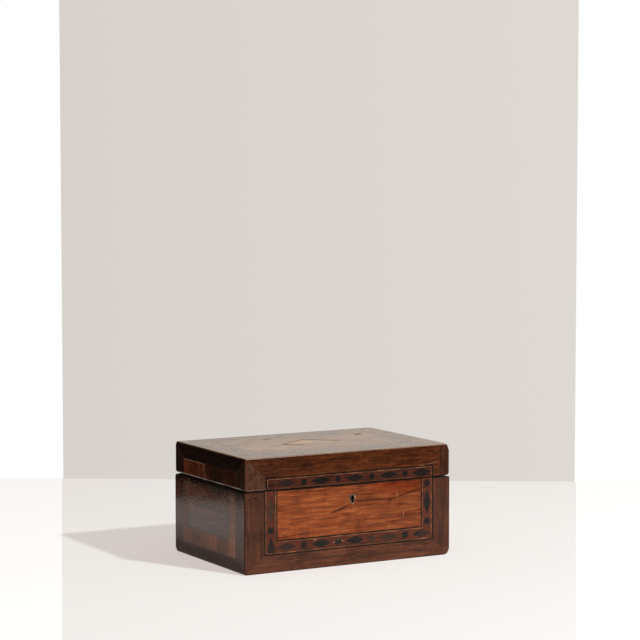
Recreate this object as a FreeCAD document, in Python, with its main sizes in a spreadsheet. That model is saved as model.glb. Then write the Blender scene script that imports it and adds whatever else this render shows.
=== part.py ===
import FreeCAD, Part
import os
import re
import Sketcher

# A veneered keepsake box with a hinged lid and a mortised box lock, in millimetres.
# It stands on z = 0 with its front towards -Y, and its middle is at x = 0, y = 0.

SIZES = {
    # Outside of the closed box
    "box_width": 290.0,
    "box_depth": 190.0,
    "box_height": 140.0,
    "lid_height": 40.0,           # top to the middle of the gap under the lid
    "lid_gap": 1.0,
    "lid_end_inset": 0.8,         # the lid is this much shorter than the base at each end
    # Boards
    "wall": 9.0,
    "floor_thickness": 8.0,
    "top_thickness": 8.0,
    "corner_lap": 4.5,            # depth of the rebates that take the end boards
    "veneer": 1.0,
    # Worn edges
    "corner_round": 1.5,
    "long_edge_round": 1.4,       # front and back edges of the top and the underside
    "end_edge_round": 3.2,        # left and right edges of the top and the underside
    "mouth_round": 0.8,           # front edges beside the gap
    "mouth_wear_length": 7.0,     # slope of the end edges beside the gap
    "mouth_wear_drop": 1.3,
    # Inlay of the front
    "front_border_left": 26.7,
    "front_border_right": 25.0,
    "front_border_low": 21.3,
    "lid_border_left": 29.0,
    "lid_stile_right": 13.0,
    "dark_string": 1.6,
    "light_string": 1.1,
    "band_width": 12.4,
    # Veneers of the ends
    "end_border_side": 23.0,
    "end_border_low": 17.5,
    "end_band_side": 15.5,
    "end_band_low": 19.5,
    "end_string": 1.0,
    # Veneers of the top
    "top_border": 40.0,
    "diamond_length": 90.0,
    "diamond_width": 62.0,
    # Keyhole and lock
    "lock_offset": 3.6,           # keyhole to the right of the middle
    "keyhole_drop": 17.2,         # keyhole below the middle of the gap
    "keyhole_diameter": 5.6,
    "keyhole_slot_width": 2.4,
    "keyhole_slot_drop": 5.0,
    "bush_wall": 2.0,
    "mortise_floor": 2.0,         # wood left in front of the lock
    "lock_width": 52.0,
    "lock_height": 30.0,
    "lock_plate_thickness": 1.5,
    "lock_flange": 7.0,
    "lock_lip": 2.5,
    "case_sheet": 0.8,
    "key_pin_diameter": 2.4,
    "lock_screw_edge": 6.5,       # lock screws from the plate's upper and lower edges
    "bolt_travel": 6.0,
    "bolt_thickness": 2.0,
    "bolt_height": 5.0,
    "bolt_key_gap": 2.0,          # key pin to the bolt's lower edge
    "bolt_tail": 10.0,
    "talon_height": 1.7,          # notch that the key turns in
    "finger_height": 2.2,
    "finger_root": 3.0,
    "finger_drop": 5.5,           # top of the base to the middle of the fingers
    "finger_gap": 0.6,
    "spring_thickness": 0.4,
    "spring_length": 9.0,
    "spring_angle": 6.0,
    "staple_spacing": 14.0,
    "staple_thickness": 1.6,
    "staple_wall": 0.5,
    "eye_clearance": 0.3,
    "staple_foot": 1.2,
    "slot_clearance": 0.4,
    "link_plate_thickness": 1.4,
    "link_seat": 0.1,             # link plate above the lock's top strip
    "link_screw_inset": 5.0,
    # Hinges
    "hinge_end": 60.0,            # end of the box to the middle of its hinge
    "hinge_length": 38.0,
    "hinge_setback": 3.0,         # pin in from the back face
    "open_angle": 100.0,
    "stop_clearance": 0.1,
    "leaf_thickness": 1.2,
    "leaf_gap": 0.2,
    "leaf_margin": 0.5,
    "leaf_screw_inset": 1.9,
    "knuckle_diameter": 4.6,
    "knuckle_clearance": 0.3,
    "knuckle_gap": 0.15,
    "pin_diameter": 2.0,
    "pin_clearance": 0.05,
    # Screws
    "screw_head_diameter": 2.8,
    "screw_head_depth": 0.9,
    "screw_diameter": 1.5,
    "screw_length": 7.0,
    "screw_slot_width": 0.5,
    "screw_slot_depth": 0.4,
}
SHARES = {
    # Of the lid's height
    "lid_border_share": 0.62,
    "lid_end_border_share": 0.4675,
    # Of a pattern band's length
    "row_start_share": 0.1769,    # left end to the first dot
    "row_pitch_share": 0.2166,
    "leg_pitch_share": 0.6305,
    "left_leg_dot_share": 0.371,  # lower end to the dot
    "right_leg_dot_share": 0.281,
    # Of a pattern band's width
    "dot_share": 0.702,
    "lozenge_width_share": 0.772,
    # Of the pattern's pitch
    "row_lozenge_share": 0.57,
    "leg_lozenge_share": 0.66,
    # Of the radius that would carry a lozenge's curve out to its points
    "lozenge_round_share": 0.5,
}
DOTS_ALONG = 4                    # dots on the sill of the front, and on the lid's band
SILL_PIECES = 6                   # cross-banding below an end panel
LEG_PIECES = 3                    # cross-banding beside an end panel
LID_PIECES = 7                    # cross-banding on a lid end

# Lines that several pieces share, as formulas of the sizes
half_width = "box_width / 2"
half_depth = "box_depth / 2"
split = "(box_height - lid_height)"
mouth_low = "(box_height - lid_height - lid_gap / 2)"
mouth_high = "(box_height - lid_height + lid_gap / 2)"
core_half = "(box_width / 2 - veneer)"
core_depth = "(box_depth / 2 - veneer)"
inner_depth = "(box_depth / 2 - veneer - wall)"
lid_half = "(box_width / 2 - lid_end_inset)"
lid_core_half = "(box_width / 2 - lid_end_inset - veneer)"
lid_core_top = "(box_height - veneer)"
lid_ceiling = "(box_height - veneer - top_thickness)"
axis_y = "(box_depth / 2 - hinge_setback)"
leaf_inner = f"({inner_depth} + leaf_margin)"
key_height = "(box_height - lid_height - keyhole_drop)"
lock_inner = f"(-{inner_depth})"
lock_depth = "(wall - mortise_floor)"
lock_front = f"({lock_inner} - {lock_depth})"
hinge_centre = "(box_width / 2 - hinge_end)"
inlay_left = "(-box_width / 2 + front_border_left)"
inlay_right = "(box_width / 2 - front_border_right)"
lid_inlay_left = "(-box_width / 2 + lid_border_left)"
inlay_top = "(box_height - lid_border_share * lid_height)"

doc = FreeCAD.newDocument("wooden_box")
sheet = doc.addObject("Spreadsheet::Sheet", "Sizes")
for row, (size_name, size) in enumerate((SIZES | SHARES).items(), start=1):
    sheet.set(f"A{row}", size_name)
    sheet.set(f"B{row}", str(size))
    sheet.setAlias(f"B{row}", size_name)
doc.recompute()

ALIAS = re.compile(r"\b(" + "|".join(SIZES | SHARES) + r")\b")
X_AXIS = FreeCAD.Vector(1, 0, 0)
Y_AXIS = FreeCAD.Vector(0, 1, 0)
Z_AXIS = FreeCAD.Vector(0, 0, 1)
ALONG_X = FreeCAD.Rotation(Y_AXIS, 90)
ALONG_Y = FreeCAD.Rotation(X_AXIS, -90)
UPRIGHT = FreeCAD.Rotation()
UPSIDE_DOWN = FreeCAD.Rotation(X_AXIS, 180)
nodes = []


# Formulas and placing

def formula(text):
    """The text with each size named as its cell."""
    return ALIAS.sub(r"Sizes.\1", text)


def bind(item, prop, text):
    item.setExpression(prop, formula(text))


def place(item, spot, rotation=UPRIGHT):
    item.Placement = FreeCAD.Placement(FreeCAD.Vector(), rotation)
    for axis, text in zip("xyz", spot):
        bind(item, f"Placement.Base.{axis}", text)
    return item


def span(side, near, far):
    """Low and high ends of a stretch from near to far, on the plus or minus side of zero."""
    return (near, far) if side > 0 else (f"-({far})", f"-({near})")


def about_split(side, near, far):
    """Low and high ends of a stretch that lies above or below the middle of the gap."""
    low, high = span(side, near, far)
    return f"{split} + {low}", f"{split} + {high}"


# Solids and how they are combined

def block(name, x, y, z):
    """A rectangular solid between three pairs of formulas."""
    solid = doc.addObject("Part::Box", name)
    for prop, (low, high) in zip(("Length", "Width", "Height"), (x, y, z)):
        bind(solid, prop, f"({high}) - ({low})")
    return place(solid, (x[0], y[0], z[0]))


def rod(name, rotation, spot, length, diameter):
    solid = doc.addObject("Part::Cylinder", name)
    bind(solid, "Radius", f"({diameter}) / 2")
    bind(solid, "Height", length)
    return place(solid, spot, rotation)


def cut(name, base, *tools):
    solid = doc.addObject("Part::Cut", name)
    solid.Base = base
    solid.Tool = join(f"{name}_tools", *tools)
    return solid


def join(name, *solids):
    if len(solids) == 1:
        return solids[0]
    solid = doc.addObject("Part::MultiFuse", name)
    solid.Shapes = list(solids)
    return solid


def shared(name, first, second):
    solid = doc.addObject("Part::Common", name)
    solid.Base = first
    solid.Tool = second
    return solid


def group(name, solids):
    """One node of several separate solids."""
    compound = doc.addObject("Part::Compound", name)
    compound.Links = solids
    return compound


def copy_of(name, master, spot, rotation):
    link = doc.addObject("App::Link", name)
    link.LinkedObject = master
    return place(link, spot, rotation)


def keep(item):
    """Count a finished piece as a node."""
    nodes.append(item)
    return item


# Sketched outlines

def number(text):
    return float(sheet.evalExpression(formula(text)))


def outline(body, name, plane, points):
    """A closed sketch, counterclockwise. A point with a third formula ends an arc of that radius."""
    sketch = body.newObject("Sketcher::SketchObject", name)
    origin_plane = next(item for item in body.Origin.OriginFeatures if item.Role == plane)
    sketch.AttachmentSupport = (origin_plane, [""])
    sketch.MapMode = "FlatFace"
    spots = [FreeCAD.Vector(number(point[0]), number(point[1]), 0) for point in points]
    for index, point in enumerate(points):
        start, end = spots[index - 1], spots[index]
        edge = Part.LineSegment(start, end)
        if len(point) == 3:
            chord = end - start
            radius = number(point[2])
            rise = radius - (radius ** 2 - chord.Length ** 2 / 4) ** 0.5
            outward = FreeCAD.Vector(chord.y, -chord.x, 0).normalize()
            edge = Part.Arc(start, (start + end) / 2 + outward * rise, end)
        sketch.addGeometry(edge)
    for index, point in enumerate(points):
        following = (index + 1) % len(points)
        sketch.addConstraint(Sketcher.Constraint("Coincident", index, 2, following, 1))
        for kind, text, value in zip(("DistanceX", "DistanceY"), point, spots[index]):
            row = sketch.addConstraint(Sketcher.Constraint(kind, -1, 1, index, 2, value))
            bind(sketch, f"Constraints[{row}]", text)
        if len(point) == 3:
            row = sketch.addConstraint(Sketcher.Constraint("Radius", index, number(point[2])))
            bind(sketch, f"Constraints[{row}]", point[2])
    return sketch


def prism(name, plane, points, length, side_type="One side"):
    """A padded outline on one of the body's own planes."""
    body = doc.addObject("PartDesign::Body", name)
    pad = body.newObject("PartDesign::Pad", f"{name}_pad")
    pad.Profile = outline(body, f"{name}_outline", plane, points)
    pad.SideType = side_type
    bind(pad, "Length", length)
    return body


# Faces of the carcass that take veneer

class Face:
    """A flat face: its origin, and the directions across and up it as seen from outside."""

    def __init__(self, origin, across, up):
        self.origin = origin
        self.across = across
        self.up = up
        self.rotation = FreeCAD.Rotation(across, up, across.cross(up), "XYZ")

    def spot(self, across, up):
        parts = zip(self.origin, self.across, self.up)
        return [f"{start} + ({a:g}) * ({across}) + ({u:g}) * ({up})" for start, a, u in parts]


def end_face(side, half):
    """The left or right face of the base or the lid."""
    return Face((f"({side}) * {half}", "0", "0"), Y_AXIS * side, Z_AXIS)


FRONT = Face(("0", f"-{core_depth}", "0"), X_AXIS, Z_AXIS)
BACK = Face(("0", core_depth, "0"), -X_AXIS, Z_AXIS)
TOP = Face(("0", "0", lid_core_top), X_AXIS, Y_AXIS)


def plate(name, face, across, up):
    """A rectangle of veneer."""
    solid = doc.addObject("Part::Box", name)
    bind(solid, "Length", f"({across[1]}) - ({across[0]})")
    bind(solid, "Width", f"({up[1]}) - ({up[0]})")
    bind(solid, "Height", "veneer")
    return place(solid, face.spot(across[0], up[0]), face.rotation)


def shaped_plate(name, face, points):
    """A piece of veneer cut to an outline."""
    return place(prism(name, "XY_Plane", points, "veneer"), face.spot("0", "0"), face.rotation)


def row_of_plates(name, face, across, up, pieces, upright=False):
    """A strip of veneer laid as equal pieces, side by side or one above the other."""
    low, high = up if upright else across
    cuts = [f"({low}) + (({high}) - ({low})) * {step} / {pieces}" for step in range(pieces + 1)]
    plates = []
    for step in range(pieces):
        stretch = (cuts[step], cuts[step + 1])
        sides = (across, stretch) if upright else (stretch, up)
        plates.append(plate(f"{name}_{step + 1}", face, *sides))
    return plates


# The worn outside of the base and of the lid

wear_radius = "((mouth_wear_length ^ 2 + mouth_wear_drop ^ 2) / (2 * mouth_wear_drop))"


def rounded_plan(name, half):
    turn = "corner_round"
    return prism(name, "XY_Plane", [
        (f"{half} - {turn}", f"-{half_depth}"), (half, f"-{half_depth} + {turn}", turn),
        (half, f"{half_depth} - {turn}"), (f"{half} - {turn}", half_depth, turn),
        (f"-{half} + {turn}", half_depth), (f"-{half}", f"{half_depth} - {turn}", turn),
        (f"-{half}", f"-{half_depth} + {turn}"), (f"-{half} + {turn}", f"-{half_depth}", turn),
    ], "box_height")


def base_form():
    half, turn, edge = half_width, "end_edge_round", "long_edge_round"
    shoulder = f"{mouth_low} - mouth_wear_drop"
    ends = prism("base_end_wear", "XZ_Plane", [
        (f"{half} - {turn}", "0"), (half, turn, turn),
        (half, shoulder), (f"{half} - mouth_wear_length", mouth_low, wear_radius),
        (f"-{half} + mouth_wear_length", mouth_low), (f"-{half}", shoulder, wear_radius),
        (f"-{half}", turn), (f"-{half} + {turn}", "0", turn),
    ], "2 * box_depth", "Symmetric")
    sides = prism("base_side_wear", "YZ_Plane", [
        (f"{half_depth} - {edge}", "0"), (half_depth, edge, edge),
        (half_depth, mouth_low), (f"-{half_depth} + mouth_round", mouth_low),
        (f"-{half_depth}", f"{mouth_low} - mouth_round", "mouth_round"),
        (f"-{half_depth}", edge), (f"-{half_depth} + {edge}", "0", edge),
    ], "2 * box_width", "Symmetric")
    plan = rounded_plan("base_plan_wear", half)
    return shared("base_form", shared("base_plan_and_ends", plan, ends), sides)


def lid_form():
    half, turn, edge = lid_half, "end_edge_round", "long_edge_round"
    shoulder = f"{mouth_high} + mouth_wear_drop"
    ends = prism("lid_end_wear", "XZ_Plane", [
        (f"{half} - mouth_wear_length", mouth_high), (half, shoulder, wear_radius),
        (half, f"box_height - {turn}"), (f"{half} - {turn}", "box_height", turn),
        (f"-{half} + {turn}", "box_height"), (f"-{half}", f"box_height - {turn}", turn),
        (f"-{half}", shoulder), (f"-{half} + mouth_wear_length", mouth_high, wear_radius),
    ], "2 * box_depth", "Symmetric")
    sides = prism("lid_side_wear", "YZ_Plane", [
        (half_depth, mouth_high), (half_depth, f"box_height - {edge}"),
        (f"{half_depth} - {edge}", "box_height", edge), (f"-{half_depth} + {edge}", "box_height"),
        (f"-{half_depth}", f"box_height - {edge}", edge), (f"-{half_depth}", f"{mouth_high} + mouth_round"),
        (f"-{half_depth} + mouth_round", mouth_high, "mouth_round"),
    ], "2 * box_width", "Symmetric")
    plan = rounded_plan("lid_plan_wear", half)
    return shared("lid_form", shared("lid_plan_and_ends", plan, ends), sides)


def worn(name, form, pieces):
    """Pieces with the worn outside of the base or lid, as one node."""
    trimmed = [shared(f"{piece.Name}_worn", piece, form) for piece in pieces]
    return keep(group(name, trimmed))


# Screws

def screw_master():
    """A countersunk slotted screw that points down from its head at the origin."""
    body = doc.addObject("PartDesign::Body", "screw_master")
    turned = body.newObject("PartDesign::Revolution", "screw_turned")
    head, shank = "screw_head_diameter / 2", "screw_diameter / 2"
    turned.Profile = outline(body, "screw_outline", "XZ_Plane", [
        ("0", "-screw_length"), (shank, "-screw_length"), (shank, "-screw_head_depth"),
        (head, "0"), ("0", "0"),
    ])
    turned.ReferenceAxis = (turned.Profile[0], ["V_Axis"])
    slot = body.newObject("PartDesign::Pocket", "screw_slot")
    slot.Profile = outline(body, "screw_slot_outline", "XY_Plane", [
        (f"-{head}", "-screw_slot_width / 2"), (head, "-screw_slot_width / 2"),
        (head, "screw_slot_width / 2"), (f"-{head}", "screw_slot_width / 2"),
    ])
    bind(slot, "Length", "screw_slot_depth")
    return body


def screw_seat():
    """The space that one screw fills, slot included."""
    cone = doc.addObject("Part::Cone", "screw_seat_head")
    bind(cone, "Radius1", "screw_diameter / 2")
    bind(cone, "Radius2", "screw_head_diameter / 2")
    bind(cone, "Height", "screw_head_depth")
    place(cone, ("0", "0", "-screw_head_depth"))
    shank = rod("screw_seat_shank", UPRIGHT, ("0", "0", "-screw_length"), "screw_length", "screw_diameter")
    return join("screw_seat", cone, shank)


def screws(name, spots, rotation):
    """A node of screws, and the seats that they fill."""
    placed = [copy_of(f"{name}_{row}", SCREW, spot, rotation) for row, spot in enumerate(spots, start=1)]
    seats = [copy_of(f"{name}_seat_{row}", SEAT, spot, rotation) for row, spot in enumerate(spots, start=1)]
    keep(group(name, placed))
    return group(f"{name}_seats", seats)


# Hinges

half_knuckle = "hinge_length / 6"   # half of the middle one of three


def hinge_leaf(name, middle, side, knuckles, notches, bore, seats):
    """One leaf with its knuckles: side is -1 on the base and +1 on the lid."""
    thickness = about_split(side, "leaf_gap / 2", "leaf_gap / 2 + leaf_thickness")
    flap = block(f"{name}_flap", (f"{middle} - hinge_length / 2", f"{middle} + hinge_length / 2"),
                 (leaf_inner, axis_y), thickness)
    notch_y = (f"{axis_y} - knuckle_diameter / 2 - knuckle_clearance", axis_y)
    gaps = [block(f"{name}_notch_{row}", (f"{middle} + {low}", f"{middle} + {high}"), notch_y, thickness)
            for row, (low, high) in enumerate(notches, start=1)]
    rolls = [rod(f"{name}_knuckle_{row}", ALONG_X, (f"{middle} + {low}", axis_y, split),
                 f"({high}) - ({low})", "knuckle_diameter")
             for row, (low, high) in enumerate(knuckles, start=1)]
    hole = rod(f"{name}_bore", ALONG_X, (f"{middle} - hinge_length / 2", axis_y, split),
               "hinge_length", bore)
    solid = join(f"{name}_rolled", cut(f"{name}_notched", flap, *gaps), *rolls)
    return keep(cut(name, solid, hole, seats))


def hinges():
    """Both hinges. Gives what they take out of the base's back board and the lid's back rail."""
    base_takes, lid_takes = [], []
    screw_y = f"{leaf_inner} + leaf_screw_inset"
    middles = {"left": f"(-{hinge_centre})", "right": hinge_centre}
    screw_x = [f"{middle} + ({end}) * 2 * {half_knuckle}" for middle in middles.values() for end in (-1, 1)]
    base_spots = [(x, screw_y, f"{split} - leaf_gap / 2") for x in screw_x]
    lid_spots = [(x, screw_y, f"{split} + leaf_gap / 2") for x in screw_x]
    base_seats = screws("hinge_base_screws", base_spots, UPRIGHT)
    lid_seats = screws("hinge_lid_screws", lid_spots, UPSIDE_DOWN)
    inner = (f"-{half_knuckle} + knuckle_gap / 2", f"{half_knuckle} - knuckle_gap / 2")
    outer = (f"-{half_knuckle} - knuckle_gap / 2", f"{half_knuckle} + knuckle_gap / 2")
    ends = ("-hinge_length / 2", "hinge_length / 2")
    loose_bore = "pin_diameter + 2 * pin_clearance"
    for name, middle in middles.items():
        hinge_leaf(f"{name}_hinge_base_leaf", middle, -1, [(ends[0], outer[0]), (outer[1], ends[1])],
                   [outer], "pin_diameter", base_seats)
        hinge_leaf(f"{name}_hinge_lid_leaf", middle, 1, [inner],
                   [(ends[0], inner[0]), (inner[1], ends[1])], loose_bore, lid_seats)
        start = f"{middle} - hinge_length / 2"
        keep(rod(f"{name}_hinge_pin", ALONG_X, (start, axis_y, split),
                 "hinge_length", "pin_diameter"))
        room = rod(f"{name}_knuckle_room", ALONG_X, (f"{start} - knuckle_gap", axis_y, split),
                   "hinge_length + 2 * knuckle_gap", "knuckle_diameter + 2 * knuckle_clearance")
        reach = (start, f"{middle} + hinge_length / 2")
        depth = (leaf_inner, core_depth)
        for side, takes, body in ((-1, base_takes, "base"), (1, lid_takes, "lid")):
            height = about_split(side, "0", "leaf_gap / 2 + leaf_thickness")
            takes += [block(f"{name}_{body}_leaf_seat", reach, depth, height), room]
    return base_takes + [base_seats], lid_takes + [lid_seats]


def back_bevel():
    """What the base loses at the back so that the lid can lean back to its stop."""
    lean = "open_angle / 2"
    past_back = "4 * hinge_setback"
    bevel = doc.addObject("Part::Box", "base_bevel")
    bind(bevel, "Length", "2 * box_width")
    bind(bevel, "Width", past_back)
    bind(bevel, "Height", past_back)
    place(bevel, ("-box_width", f"{axis_y} - stop_clearance * sin({lean})",
                  f"{split} - stop_clearance * cos({lean})"), FreeCAD.Rotation(X_AXIS, -1))
    bind(bevel, "Placement.Rotation.Angle", f"-{lean}")
    return bevel


def mirrored_above(name, source):
    """The same shape on the other side of the gap."""
    mirror = doc.addObject("Part::Mirroring", name)
    mirror.Source = source
    mirror.Normal = Z_AXIS
    bind(mirror, "Base.z", split)
    return mirror


# Lock

def keyhole(name, margin, front, back):
    """A keyhole between two depths, widened all round by a margin."""
    depth = (front, back)
    width = f"keyhole_slot_width + 2 * {margin}"
    foot = f"{key_height} - keyhole_slot_drop"
    eye = rod(f"{name}_eye", ALONG_Y, ("lock_offset", front, key_height), f"({back}) - ({front})",
              f"keyhole_diameter + 2 * {margin}")
    toe = rod(f"{name}_toe", ALONG_Y, ("lock_offset", front, foot), f"({back}) - ({front})", width)
    slot = block(f"{name}_slot", (f"lock_offset - ({width}) / 2", f"lock_offset + ({width}) / 2"),
                 depth, (foot, key_height))
    return join(name, eye, toe, slot)


def around_lock(half):
    return f"lock_offset - ({half})", f"lock_offset + ({half})"


case_half = "(lock_width / 2 - lock_flange)"
cavity_mid = f"({lock_front} + case_sheet / 2 - lock_plate_thickness / 2 + {lock_depth} / 2)"
eye_width = "(bolt_thickness + 2 * eye_clearance)"
staple_width = f"({eye_width} + 2 * staple_wall)"
finger_mid = f"({mouth_low} - finger_drop)"
eye_half = "(finger_height / 2 + eye_clearance)"


def around_cavity(width):
    return f"{cavity_mid} - ({width}) / 2", f"{cavity_mid} + ({width}) / 2"


def staple_spots():
    return [f"(lock_offset + ({side}) * staple_spacing / 2)" for side in (-1, 1)]


def lock():
    """The lock's own pieces. Gives what they take out of the front board."""
    plate_back = f"{lock_inner} - lock_plate_thickness"
    low = f"{mouth_low} - lock_height"
    strip_low = f"{mouth_low} - lock_plate_thickness"
    case_low = f"{low} + lock_lip"
    wide = around_lock("lock_width / 2")
    screw_x = [f"lock_offset + ({side}) * (lock_width / 2 - lock_flange / 2)" for side in (-1, 1)]
    screw_z = [f"{mouth_low} - lock_screw_edge", f"{low} + lock_screw_edge"]
    seats = screws("lock_screws", [(x, lock_inner, z) for x in screw_x for z in screw_z], ALONG_Y)
    upright = block("lock_plate_upright", wide, (plate_back, lock_inner), (low, mouth_low))
    strip = block("lock_plate_strip", wide, (lock_front, lock_inner), (strip_low, mouth_low))
    elbow = join("lock_plate_elbow", upright, strip)
    slots = [block(f"lock_slot_{row}", (f"{x} - staple_thickness / 2 - slot_clearance",
                                        f"{x} + staple_thickness / 2 + slot_clearance"),
                   around_cavity(f"{staple_width} + 2 * slot_clearance"), (strip_low, mouth_low))
             for row, x in enumerate(staple_spots(), start=1)]
    pin = rod("key_pin", ALONG_Y, ("lock_offset", f"{lock_front} + case_sheet", key_height),
              f"{lock_depth} - case_sheet", "key_pin_diameter")
    keep(pin)
    keep(cut("lock_plate", elbow, seats, pin, *slots))
    case_outside = block("lock_case_outside", around_lock(case_half), (lock_front, plate_back),
                         (case_low, strip_low))
    case_inside = block("lock_case_inside", around_lock(f"{case_half} - case_sheet"),
                        (f"{lock_front} + case_sheet", plate_back), (f"{case_low} + case_sheet", strip_low))
    key_way = keyhole("case_keyhole", "0", lock_front, f"{lock_front} + case_sheet")
    keep(cut("lock_case", case_outside, case_inside, key_way))
    return [elbow, case_outside, seats]


def lock_bolt():
    """The sliding bolt, drawn back, with one finger beside each staple, and its spring."""
    bar_low = f"{key_height} + bolt_key_gap"
    bar_high = f"{bar_low} + bolt_height"
    depth = around_cavity("bolt_thickness")
    fingers = []
    for row, x in enumerate(staple_spots(), start=1):
        tip = f"{x} - staple_thickness / 2 - finger_gap"
        root = f"{tip} - bolt_travel"
        heel = f"{root} - finger_root"
        bottom = f"{finger_mid} - finger_height / 2"
        top = f"{finger_mid} + finger_height / 2"
        fingers.append(block(f"bolt_finger_{row}", (heel, tip), depth, (bottom, top)))
        fingers.append(block(f"bolt_post_{row}", (heel, root), depth, (bar_low, top)))
    first = staple_spots()[0]
    bar_start = f"{first} - staple_thickness / 2 - finger_gap - bolt_travel - finger_root"
    bar_end = "lock_offset + bolt_tail - bolt_travel"
    bar = block("bolt_bar", (bar_start, bar_end), depth, (bar_low, bar_high))
    talon = block("bolt_talon", ("lock_offset - bolt_travel", "lock_offset"), depth,
                  (bar_low, f"{bar_low} + talon_height"))
    keep(cut("lock_bolt", join("bolt_whole", bar, *fingers), talon))
    spring = doc.addObject("Part::Box", "bolt_spring_leaf")
    bind(spring, "Length", "spring_length")
    bind(spring, "Width", "bolt_thickness")
    bind(spring, "Height", "spring_thickness")
    place(spring, ("lock_offset", depth[0], bar_high), FreeCAD.Rotation(Y_AXIS, -1))
    bind(spring, "Placement.Rotation.Angle", "-spring_angle")
    foot = block("bolt_spring_foot", ("lock_offset", bar_end), depth,
                 (bar_high, f"{bar_high} + spring_thickness"))
    keep(join("bolt_spring", foot, spring))


def link_plate():
    """The lid's half of the lock. Gives what it takes out of the lid's front rail."""
    low = f"({mouth_low} + link_seat)"
    half = "lock_width / 2"
    screw_x = [f"lock_offset + ({side}) * ({half} - link_screw_inset)" for side in (-1, 1)]
    seats = screws("link_plate_screws", [(x, cavity_mid, low) for x in screw_x], UPSIDE_DOWN)
    strip = block("link_strip", around_lock(half), (lock_front, lock_inner),
                  (low, f"{low} + link_plate_thickness"))
    staples, eyes = [], []
    for row, x in enumerate(staple_spots(), start=1):
        thick = (f"{x} - staple_thickness / 2", f"{x} + staple_thickness / 2")
        staples.append(block(f"staple_{row}", thick, around_cavity(staple_width),
                             (f"{finger_mid} - {eye_half} - staple_foot", low)))
        eyes.append(block(f"staple_eye_{row}", thick, around_cavity(eye_width),
                          (f"{finger_mid} - {eye_half}", f"{finger_mid} + {eye_half}")))
    keep(cut("link_plate", join("link_whole", strip, *staples), seats, *eyes))
    return [strip, seats]


# Boards

def long_board(name, side, half, low, high, takes):
    """A front (side -1) or back (side +1) board, rebated at both ends for the end boards."""
    blank = block(f"{name}_blank", (f"-{half}", half), span(side, inner_depth, core_depth), (low, high))
    lap = span(side, inner_depth, f"{inner_depth} + corner_lap")
    rebates = [block(f"{name}_rebate_{row}", span(end, f"{half} - wall", half), lap, (low, high))
               for row, end in enumerate((-1, 1), start=1)]
    return cut(f"{name}_cut", blank, *rebates, *takes)


def end_board(name, side, half, low, high):
    reach = f"({inner_depth} + corner_lap)"
    return block(f"{name}_blank", span(side, f"{half} - wall", half), (f"-{reach}", reach), (low, high))


def carcass(form, half, low, high, names, takes):
    """Four boards around the base or the lid: front, back, left and right."""
    blanks = [
        long_board(names[0], -1, half, low, high, takes[0]),
        long_board(names[1], 1, half, low, high, takes[1]),
        end_board(names[2], -1, half, low, high),
        end_board(names[3], 1, half, low, high),
    ]
    for name, blank in zip(names, blanks):
        keep(shared(name, blank, form))


def flat_board(name, form, half, low, high):
    blank = block(f"{name}_blank", (f"-{half}", half), (f"-{core_depth}", core_depth), (low, high))
    keep(shared(name, blank, form))


# Veneers of the front

steps = [
    "0",
    "dark_string",
    "(dark_string + light_string)",
    "(dark_string + light_string + band_width)",
    "(dark_string + 2 * light_string + band_width)",
    "(2 * dark_string + 2 * light_string + band_width)",
]
row_left, row_right = f"({inlay_left} + {steps[3]})", f"({inlay_right} - {steps[2]})"
row_length = f"({row_right} - {row_left})"
leg_low, row_top = f"(front_border_low + {steps[2]})", f"(front_border_low + {steps[3]})"
leg_length = f"({mouth_low} - {leg_low})"
row_lozenge_length = f"(row_lozenge_share * row_pitch_share * {row_length})"
leg_lozenge_length = f"(leg_lozenge_share * leg_pitch_share * {leg_length})"
SIDES = (("left", -1), ("right", 1))


def open_frame(name, outer, inner):
    """Two legs and a sill around the front panel, between two distances in from the border."""
    low, high = f"front_border_low + {outer}", f"front_border_low + {inner}"
    left, right = f"{inlay_left} + {inner}", f"{inlay_right} - {inner}"
    return [
        plate(f"{name}_left_leg", FRONT, (f"{inlay_left} + {outer}", left), (low, mouth_low)),
        plate(f"{name}_right_leg", FRONT, (right, f"{inlay_right} - {outer}"), (low, mouth_low)),
        plate(f"{name}_sill", FRONT, (left, right), (low, high)),
    ]


def lozenge_master(name, width, length):
    """A pointed lozenge with rounded shoulders, lying along X, for a band of some width."""
    tip, rise = f"({length} / 2)", f"(lozenge_width_share * {width} / 2)"
    turn = f"(lozenge_round_share * ({tip} ^ 2 + {rise} ^ 2) / (2 * {rise}))"
    sink = f"({turn} - {rise})"
    lean = f"(atan({sink} / {tip}) + acos({turn} / sqrt({tip} ^ 2 + {sink} ^ 2)))"
    x, y = f"{turn} * cos({lean})", f"({turn} * sin({lean}) - {sink})"
    return prism(name, "XY_Plane", [
        (tip, "0"), (x, y), (f"-{x}", y, turn), (f"-{tip}", "0"), (f"-{x}", f"-{y}"), (x, f"-{y}", turn),
    ], "veneer")


def inlays(name, strip, width, lozenge, dots, lozenges, upright=False):
    """Dots and lozenges let into a strip: the two kinds of inlay, and the strip around them."""
    turned = FRONT.rotation * FreeCAD.Rotation(Z_AXIS, 90 if upright else 0)
    discs = [rod(f"{name}_disc_{row}", FRONT.rotation, FRONT.spot(*spot), "veneer", f"dot_share * {width}")
             for row, spot in enumerate(dots, start=1)]
    points = [copy_of(f"{name}_point_{row}", lozenge, FRONT.spot(*spot), turned)
              for row, spot in enumerate(lozenges, start=1)]
    discs = [shared(f"{disc.Name}_inlay", disc, strip) for disc in discs]
    points = [shared(f"{point.Name}_inlay", point, strip) for point in points]
    return discs, points, cut(f"{name}_pierced", strip, *discs, *points)


def along_row(halves):
    """Distance across the front, counted in half pitches from a level band's first dot."""
    return f"{row_left} + {row_length} * (row_start_share + row_pitch_share * ({halves}) / 2)"


def pattern_row(up):
    """Places of the dots and of the lozenges along a level band."""
    dots = [(along_row(2 * count), up) for count in range(DOTS_ALONG)]
    lozenges = [(along_row(2 * count - 1), up) for count in range(DOTS_ALONG + 1)]
    return dots, lozenges


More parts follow.
